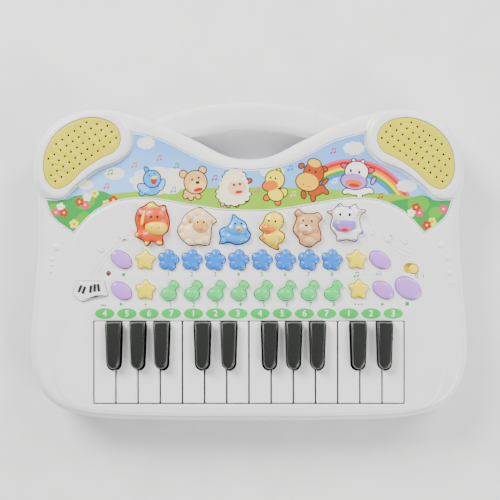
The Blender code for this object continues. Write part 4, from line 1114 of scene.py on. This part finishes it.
def film():
    """Glossy printed film: pale sky, deeper towards the top, with a rainbow of six bands."""
    made, tree, shader, where = blank("gloss_printed_film", "#A9CFF6")
    shader.inputs["Roughness"].default_value = 0.38
    parts = add(tree, "SeparateXYZ", Vector=where)
    up = add(tree, "MapRange", i0=parts.outputs["Y"], i1=0.05, i2=0.1, i3=0.0, i4=1.0)
    sky = add(tree, "ValToRGB", Fac=up.outputs[0])
    sky.color_ramp.elements[0].color = paint("#86BFFA")
    sky.color_ramp.elements[1].color = paint("#5AA2EE")
    flat = add(tree, "CombineXYZ", X=parts.outputs["X"], Y=parts.outputs["Y"])
    reach = add(tree, "VectorMath", {"operation": "DISTANCE"}, i0=flat.outputs[0], i1=(0.0784, 0.0284, 0))
    across = add(tree, "MapRange", i0=reach.outputs["Value"], i1=0.036, i2=0.052)
    bands = add(tree, "ValToRGB", Fac=across.outputs[0])
    ramp = bands.color_ramp
    ramp.interpolation = "CONSTANT"
    hues = ("#000000", "#1478E0", "#3E9E1C", "#F2D80C", "#EE7408", "#CC140C", "#E03C74", "#000000")
    edges = (0.0, 0.08, 0.22, 0.35, 0.49, 0.62, 0.75, 0.875)
    ramp.elements[0].color = paint(hues[0])
    ramp.elements[1].position, ramp.elements[1].color = edges[-1], paint(hues[-1])
    for edge, hue in zip(edges[1:-1], hues[1:-1]):
        ramp.elements.new(edge).color = paint(hue)
    off = add(tree, "Math", {"operation": "SUBTRACT"}, i0=reach.outputs["Value"], i1=0.04364)
    far = add(tree, "Math", {"operation": "ABSOLUTE"}, i0=off.outputs[0])
    shown = add(tree, "Math", {"operation": "LESS_THAN"}, i0=far.outputs[0], i1=0.00636)
    mixed = add(tree, "Mix", {"data_type": "RGBA"}, i0=shown.outputs[0], i6=sky.outputs[0], i7=bands.outputs[0])
    tree.links.new(mixed.outputs[2], shader.inputs["Base Color"])
    return made


CLOUDS = (
    (-79.0, 90.4, 6.8, 4.6), (-103.0, 66.9, 7.6, 4.8), (-125.3, 58.3, 6.0, 3.8), (-68.0, 61.5, 23.0, 10.5),
    (80.5, 86.4, 8.2, 5.0), (121.0, 57.6, 7.8, 4.6), (18.0, 68.4, 9.5, 4.4),
)
BUSHES = (
    ((-160, 50), (-150, 47.5), (-140, 47.2), (-134, 49.8), (-128, 50.6), (-122, 50.2), (-117, 53.4), (-111, 53.2),
     (-106, 50.6), (-101.5, 47.6), (-104, 30), (-130, 10), (-165, 20)),
    ((108, 43.6), (113, 46.4), (119, 47.4), (125, 48.2), (131, 50.4), (137, 49.6), (142, 46.6), (150, 46.4), (162, 50),
     (165, 20), (130, 5), (106, 30)),
)
# Half sizes, place and turn of each lighter patch
BUSH_LIGHTS = (
    (7.5, 5.2, (-125, 45.0), 0.4), (6.5, 4.4, (-128, 32), 0.9), (4.6, 3.4, (-150, 40.6), 0.3),
    (8.5, 6.4, (130, 43.6), 0.0), (5.4, 4.4, (143, 37), 0.5), (4, 3, (126, 29), -0.8),
)
# Colour, place and radius of each flower
FLOWERS = (
    ("pink", -148.0, 37.3, 3.3), ("red", -141.9, 37.0, 3.4), ("white", -144.4, 41.4, 3.3), ("red", -130.1, 45.3, 3.4),
    ("pink", -125.6, 43.0, 3.4), ("white", -124.1, 48.7, 3.3), ("yellow", -118.3, 51.9, 3.3),
    ("yellow", -109.4, 44.0, 3.0),
    ("red", -104.0, 46.8, 3.4), ("yellow", -134.2, 28.4, 3.6), ("white", 124.5, 37.0, 3.3), ("red", 128.2, 41.2, 3.4),
    ("pink", 130.9, 37.0, 3.5), ("pink", 149.1, 39.8, 3.6), ("yellow", 140.5, 30.2, 3.4), ("red", 136.4, 27.5, 3.6),
)
NOTES = (
    ("orange", -88.2, 73.6), ("pink", -69.0, 79.0), ("leaf", -56.0, 72.9), ("red", -26.8, 63.7),
    ("pink", -109.7, 57.5),
    ("blue", -58.3, 54.5), ("pink", 6.1, 54.5), ("peach", 33.7, 51.4), ("blue", 31.4, 71.3), ("red", 64.4, 84.4),
    ("cream", 65.2, 61.4), ("red", 100.5, 49.9), ("leaf", -106.6, 68.0),
)
# Printed animals: colour, middle, half width, half height, turn and layer; a dark line runs round layers 3 to 5
FIGURES = {
    "bird": ("navy", (
        ("wing", -80.8, 56.0, 4.6, 2.7, -25, 3), ("sky", -75.2, 54.6, 6.4, 3.8, 0, 3),
        ("wing", -67.0, 58.4, 1.9, 4.4, -20, 3),
        ("sky", -82.1, 52.0, 2.0, 1.7, 0, 3), ("sky", -78.4, 69.6, 1.2, 2.6, 30, 3),
        ("sky", -74.3, 63.0, 6.3, 6.3, 0, 4),
        ("red", -73.0, 61.6, 2.3, 3.0, -8, 5), ("yellow", -72.4, 64.0, 2.4, 1.2, 10, 6),
        ("navy", -76.4, 65.4, 0.6, 0.6, 0, 6),
        ("navy", -72.4, 67.0, 0.6, 0.6, 0, 6))),
    "bear": ("dark", (
        ("tan", -44.2, 52.4, 5.6, 3.2, 0, 3), ("tan", -48.6, 50.0, 1.7, 2.0, 0, 3),
        ("tan", -44.6, 48.6, 1.8, 1.8, 0, 3),
        ("tan", -38.9, 49.4, 1.8, 1.6, 0, 3), ("tan", -50.4, 66.6, 2.6, 2.6, 0, 3),
        ("tan", -35.6, 69.8, 2.6, 2.6, 0, 3),
        ("tan", -41.0, 60.4, 8.5, 8.6, 0, 4), ("muzzle", -39.8, 57.2, 6.4, 4.6, 5, 6),
        ("red", -38.9, 54.6, 3.7, 1.5, 12, 7),
        ("dark", -39.4, 60.2, 1.6, 1.2, 10, 8), ("dark", -43.6, 62.4, 0.8, 0.9, 0, 7),
        ("dark", -38.6, 63.8, 0.8, 0.9, 0, 7))),
    "sheep": ("dark", (
        ("peach", -20.3, 43.6, 1.3, 1.2, 0, 3), ("peach", -15.9, 42.6, 1.4, 1.2, 0, 3),
        ("peach", -9.4, 42.8, 1.4, 1.2, 0, 3),
        ("peach", -1.8, 46.8, 1.3, 1.2, 0, 3), ("brown", -19.6, 59.2, 2.4, 1.4, 20, 3),
        ("brown", -0.3, 61.4, 2.4, 1.4, 15, 3),
        ("cream", -12.0, 51.4, 12.4, 8.4, 3, 4), ("cream", -11.0, 63.4, 8.4, 6.6, 0, 4),
        ("cream", -11.4, 57.0, 10.8, 9.0, 0, 6),
        ("peach", -9.0, 56.4, 7.0, 6.4, 0, 7), ("cream", -10.4, 64.2, 7.4, 3.6, 0, 8),
        ("dark", -11.5, 58.4, 0.9, 1.1, 0, 9),
        ("dark", -6.9, 59.0, 0.9, 1.1, 0, 9), ("red", -7.8, 52.9, 2.9, 1.2, 8, 8))),
    "duck": ("dark", (
        ("orange", 14.2, 48.8, 2.9, 2.0, 30, 3), ("orange", 22.2, 44.8, 2.0, 1.9, 0, 3),
        ("yellow", 26.0, 52.4, 3.4, 3.0, 40, 3),
        ("yellow", 20.4, 50.9, 5.8, 4.6, -20, 4), ("yellow", 22.8, 69.0, 1.4, 1.9, 20, 3),
        ("yellow", 19.9, 62.4, 7.0, 7.0, 0, 4),
        ("orange", 16.4, 57.8, 5.8, 4.0, 8, 5), ("dark", 16.6, 63.9, 0.7, 0.9, 0, 6),
        ("dark", 20.4, 63.2, 0.7, 0.9, 0, 6))),
    "horse": ("dark", (
        ("brown", 58.3, 60.8, 2.9, 1.1, 45, 3), ("brown", 52.0, 54.0, 6.6, 3.4, 20, 3),
        ("brown", 41.9, 50.8, 1.6, 2.8, 10, 3),
        ("brown", 49.2, 48.6, 1.5, 2.9, 0, 3), ("brown", 58.3, 53.6, 3.0, 1.5, -40, 3),
        ("brown", 40.2, 73.0, 2.0, 1.6, 30, 3),
        ("brown", 57.6, 70.4, 2.4, 1.6, -10, 3), ("brown", 49.6, 67.2, 7.4, 8.6, -12, 4),
        ("mane", 50.2, 75.0, 4.8, 3.0, -15, 5),
        ("mane", 44.8, 60.6, 8.6, 6.6, -14, 5), ("dark", 46.4, 69.6, 0.8, 1.0, 0, 6),
        ("dark", 51.2, 68.2, 0.8, 1.0, 0, 6),
        ("orange", 41.6, 58.8, 0.7, 0.7, 0, 7), ("orange", 46.0, 57.2, 0.7, 0.7, 0, 7))),
    "cow": ("dark", (
        ("white", 84.0, 53.6, 9.0, 2.9, 0, 3), ("white", 74.6, 53.4, 2.6, 1.7, 20, 3),
        ("white", 84.8, 51.0, 1.8, 2.8, 0, 3),
        ("white", 92.8, 54.0, 2.8, 1.7, -35, 3), ("lavender", 95.4, 61.6, 1.3, 2.8, -25, 3),
        ("white", 80.4, 76.4, 1.1, 2.0, 10, 3),
        ("white", 87.2, 75.4, 1.1, 2.0, -10, 3), ("pink", 73.6, 73.0, 2.8, 1.6, -15, 3),
        ("pink", 93.0, 69.4, 3.0, 1.7, 8, 3),
        ("white", 82.6, 68.6, 8.6, 7.4, -5, 4), ("lavender", 80.4, 61.2, 9.8, 6.0, -8, 5),
        ("orange", 80.4, 59.4, 6.6, 3.0, -6, 6),
        ("red", 80.6, 57.9, 4.2, 1.5, -6, 7), ("dark", 78.2, 69.2, 0.9, 1.3, 0, 6),
        ("dark", 84.6, 68.0, 0.9, 1.3, 0, 6))),
}


def cloud_loop(x, y, across, along):
    puffs = petals(9, 0.78, 0.36, 8, 0.3)
    return [Vector((x + p.x * across * 0.92, y + p.y * along * 0.92)) for p in puffs]


def note_loops(x, y):
    """A pair of notes: two heads, two stems and the beam between them."""
    heads = [moved(ellipse(0.95, 0.75, 16), place, 0.4) for place in ((x - 1.2, y - 1.5), (x + 1.4, y - 1.1))]
    stems = ((x - 0.5, y - 1.5, y + 1.4), (x + 2.1, y - 1.1, y + 1.8))
    lines = [oblong(middle - 0.2, low, middle + 0.2, high) for middle, low, high in stems]
    beam = [Vector(p) for p in ((x - 0.7, y + 1.0), (x + 2.3, y + 1.4), (x + 2.3, y + 2.2), (x - 0.7, y + 1.8))]
    return [*heads, *lines, beam]


def figure_loop(figure, part, wider=0.0):
    """One mass of a printed animal: an ellipse, or a scalloped one for wool."""
    shade, x, y, across, along, turn, _ = part
    across, along = across + wider, along + wider
    if figure == "sheep" and shade == "cream":
        return [Vector((x + p.x * across, y + p.y * along)) for p in petals(13, 0.85, 0.235, 6)]
    return moved(ellipse(across, along, 40), (x, y), math.radians(turn))


def picture():
    """The printed film in its recess, with hill, bushes, clouds, flowers, notes and animals."""
    panel = stack("picture_film", slab(PICTURE_LOOP, *PICTURE, 0.15, 2), film())
    stand_for(panel, "picture_panel")
    # A thin white band round the picture: a painted highlight standing for the light caught on the recess lip
    outside = grown(PICTURE_LOOP[::4], -0.15)
    rim = stack("rim", [(outside, 37.7), (outside, 38.05)])
    inside = grown(PICTURE_LOOP[::4], -0.85)
    carve(rim, stack("rim_space", [(inside, 37.0), (inside, 39.0)]))
    dress(rim, ink("white"))
    rim.name = "printed_rim"
    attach(rim, "case")
    hill = [Vector((x, 56.6 - 0.00045 * x * x)) for x in range(-126, 127, 3)]
    printed("printed_hill", [[*hill, Vector((126, 15)), Vector((-126, 15))]], 1, ink("grass"))
    printed("printed_bushes", [smooth_loop(points, 4) for points in BUSHES], 2, ink("leaf"))
    spots = [moved(ellipse(a, b), place, turn) for a, b, place, turn in BUSH_LIGHTS]
    printed("printed_bush_lights", spots, 3, ink("bush"))
    printed("printed_clouds", [cloud_loop(*c) for c in CLOUDS], 2, ink("cloud"))
    for shade, level in (("pink", 6), ("red", 7), ("white", 5), ("yellow", 5)):
        loops = [moved(petals(5, 0.6, 0.42, 8), (x, y), x, r) for s, x, y, r in FLOWERS if s == shade]
        printed("printed_flowers_" + shade, loops, level, ink(shade))
    hearts = [disc(0.95, (x, y), 16) for shade, x, y, _ in FLOWERS if shade != "yellow"]
    printed("printed_flower_hearts", hearts, 9, ink("yellow"))
    hearts = [disc(0.95, (x, y), 16) for shade, x, y, _ in FLOWERS if shade == "yellow"]
    printed("printed_flower_spots", hearts, 9, ink("orange"))
    for shade in sorted({n[0] for n in NOTES}):
        loops = [loop for s, x, y in NOTES if s == shade for loop in note_loops(x, y)]
        printed("printed_notes_" + shade, loops, 4, ink(shade))
    for figure, (line, parts) in FIGURES.items():
        for place, levels, under in (("line", (3,), 2.4), ("face_line", (4, 5), 3.5)):
            edges = [figure_loop(figure, part, 0.85) for part in parts if part[6] in levels]
            printed(f"printed_{figure}_{place}", edges, under, ink(line), clip=False)
        for rank, (shade, level) in enumerate(sorted({(p[0], p[6]) for p in parts})):
            loops = [figure_loop(figure, part) for part in parts if (part[0], part[6]) == (shade, level)]
            printed(f"printed_{figure}_{shade}_{level}", loops, level + 0.02 * rank, ink(shade), clip=False)


def lettering(name, words, height, level, finish):
    """Digits as thin ink: each word with its place, all of one height."""
    shape = bmesh.new()
    for word, x, y in words:
        text = bpy.data.curves.new(name, "FONT")
        text.body = word
        text.size = height * 1.35 * MM
        text.align_x, text.align_y = "CENTER", "CENTER"
        text.extrude = 0.02 * MM
        text.offset = 0.018 * height * MM
        guide = bpy.data.objects.new(name, text)
        bpy.context.scene.collection.objects.link(guide)
        bpy.context.view_layer.update()
        seen = guide.evaluated_get(bpy.context.evaluated_depsgraph_get())
        mesh = bpy.data.meshes.new_from_object(seen)
        bpy.data.objects.remove(guide)
        mesh.transform(Matrix.Translation(Vector((x, y, FIELD + 0.02 + 0.02 * level)) * MM))
        shape.from_mesh(mesh)
    bmesh.ops.remove_doubles(shape, verts=shape.verts, dist=1e-7)
    letters = settle(name, shape, finish)
    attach(letters, "case")


def marks():
    """The green number ovals over the keys and the small signs under the buttons."""
    # Pad-printed ink: flat, opaque and a little glossier than paper
    bright = moulded("green_pad_ink", "#00C844", rough=0.35, grain=0.3, relief=0.002, drift=0.05)
    small = moulded("dark_green_pad_ink", "#00A03A", rough=0.4, grain=0.3, relief=0.002)
    white = moulded("white_pad_ink", "#FFFFFF", rough=0.4, grain=0.3, relief=0.002)
    places = [(KEYS_LEFT + KEY_PITCH * (i + 0.5), -40.3) for i in range(14)]
    printed("number_ovals", [moved(ellipse(7.5, 4.1), p) for p in places], 1, bright, FIELD, False)
    lettering("numbers", [(str((i + 3) % 7 + 1), x, y) for i, (x, y) in enumerate(places)], 4.9, 2, white)
    words = [(str(i + 1), x, -10.3) for i, (x, _) in enumerate(strip_centres(0))]
    words += [(str(i + 1), x, -33.5) for i, (x, _) in enumerate(strip_centres(1))]
    words += [("-", -79.4, -10.4), ("+", -79.2, -33.5), ("+/-", 99.5, -10.2), ("0  1", 131.0, -11.5)]
    lettering("button_signs", words, 3.5, 2, small)
    dot = disc(1.3, (-96.0, -10.4), 24)
    play = [Vector(p) for p in ((-99.0, -31.6), (-99.0, -34.6), (-96.2, -33.1))]
    go = [Vector(p) for p in ((101.4, -31.6), (101.4, -34.6), (104.2, -33.1))]
    stop = oblong(119.8, -34.2, 122.6, -31.4)
    keys = oblong(-113.5, -34.4, -109.5, -33.4)
    dots = [disc(0.7, (x, -33.2), 16) for x in (81.6, 84.0, 86.4)]
    shapes = [dot, play, go, stop, keys, *note_loops(82.0, -10.4), *dots]
    printed("button_shapes", shapes, 1, small, FIELD, False)


def small_parts():
    """The piano button, the slide switch's knob and the record light."""
    loop = moved(filleted(PIANO_POINTS, 0.9), PIANO_PLACE)
    cap_with_stem("piano_cap", slab(loop, CAP_FOOT, 40.6, 1.1, 5), WHITE, "piano_button", PIANO_PLACE)
    bars = bmesh.new()
    for x, y, turn in ((-7.6, 1.2, -24), (-4.6, 0.2, -20), (0.6, 1.0, -8), (3.6, 1.9, 0), (6.5, 2.1, 8)):
        place = (PIANO_PLACE[0] + x, PIANO_PLACE[1] + y)
        bar = moved(filleted(oblong(-0.95, -2.9, 0.95, 2.9), 0.4), place, math.radians(turn))
        ring_solid(bars, slab(bar, 40.3, 41.2, 0.3, 3))
    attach(settle("piano_cap_black_keys", bars, BLACK), "piano_button")
    along = Vector((math.cos(SWITCH_TURN), math.sin(SWITCH_TURN)))
    knob_at = Vector(SWITCH_PLACE) + along * 1.8
    base = moved(pill(16.5, 9.4), knob_at, SWITCH_TURN)
    plate = stack("switch_plate", [(base, 33.6), (base, 35.3)])
    top = [(disc(3.4 - i, knob_at), 40.2 - d) for i, d in rounding(1.0, 5)]
    knob = stack("switch_knob", [(disc(3.4, knob_at), 35.0), (disc(3.4, knob_at), 39.2), *top])
    carve(knob, plate, "UNION")
    dress(knob, YELLOW)
    stand_for(knob, "power_switch_knob", "power_switch_knob")
    # Clear red acrylic: dark and glassy while unlit
    lens = moulded("red_acrylic_lens", "#8E1020", rough=0.12, grain=0.8, relief=0.002, glow=0.3)
    rise = ((1.5, 32.6), (1.5, 38.2), (1.35, 38.7), (0.9, 39.1), (0.3, 39.25))
    led = stack("record_lens", [(disc(radius, LED_PLACE, 24), z) for radius, z in rise], lens)
    stand_for(led, "record_led")


def floor_and_lights():
    """A pale card floor, three soft area lights and an even white surround."""
    shape = bmesh.new()
    bmesh.ops.create_grid(shape, x_segments=1, y_segments=1, size=3)
    # Matt card: no highlight, only soft shadow
    floor = settle("floor", shape, moulded("matt_backdrop_card", "#F4F4F2", rough=0.8, grain=3, relief=0.02))
    for name, place, size, power in (
        ("key_light", (-1.0, 1.1, 1.05), 0.8, 58),
        ("fill_light", (1.2, -0.9, 1.0), 1.0, 30),
        ("top_light", (1.0, 1.2, 1.1), 0.9, 28),
    ):
        light = bpy.data.lights.new(name, "AREA")
        light.size = size
        light.energy = power
        lamp = bpy.data.objects.new(name, light)
        bpy.context.scene.collection.objects.link(lamp)
        lamp.location = place
        lamp.rotation_euler = Vector(place).to_track_quat("Z", "Y").to_euler()
    world = bpy.data.worlds.new("studio")
    world.use_nodes = True
    world.node_tree.nodes["Background"].inputs["Color"].default_value = (1, 1, 1, 1)
    world.node_tree.nodes["Background"].inputs["Strength"].default_value = 0.34
    bpy.context.scene.world = world


def camera():
    """Looks straight down on the keyboard."""
    lens = bpy.data.cameras.new("camera")
    lens.lens = 67.6
    lens.sensor_width = 36
    eye = bpy.data.objects.new("camera", lens)
    bpy.context.scene.collection.objects.link(eye)
    eye.location = (0.0008, 0.0084, 0.758)
    bpy.context.scene.camera = eye


camera()
floor_and_lights()
relief(top_shell())
bottom_shell()
underside()
handle()
insides()
for index in range(14):
    white_key(index)
for number, index in enumerate(BLACK_AFTER, 1):
    black_key(number, index)
plain_buttons()
grille("left")
grille("right")
for name in ANIMALS:
    animal(name)
picture()
marks()
small_parts()
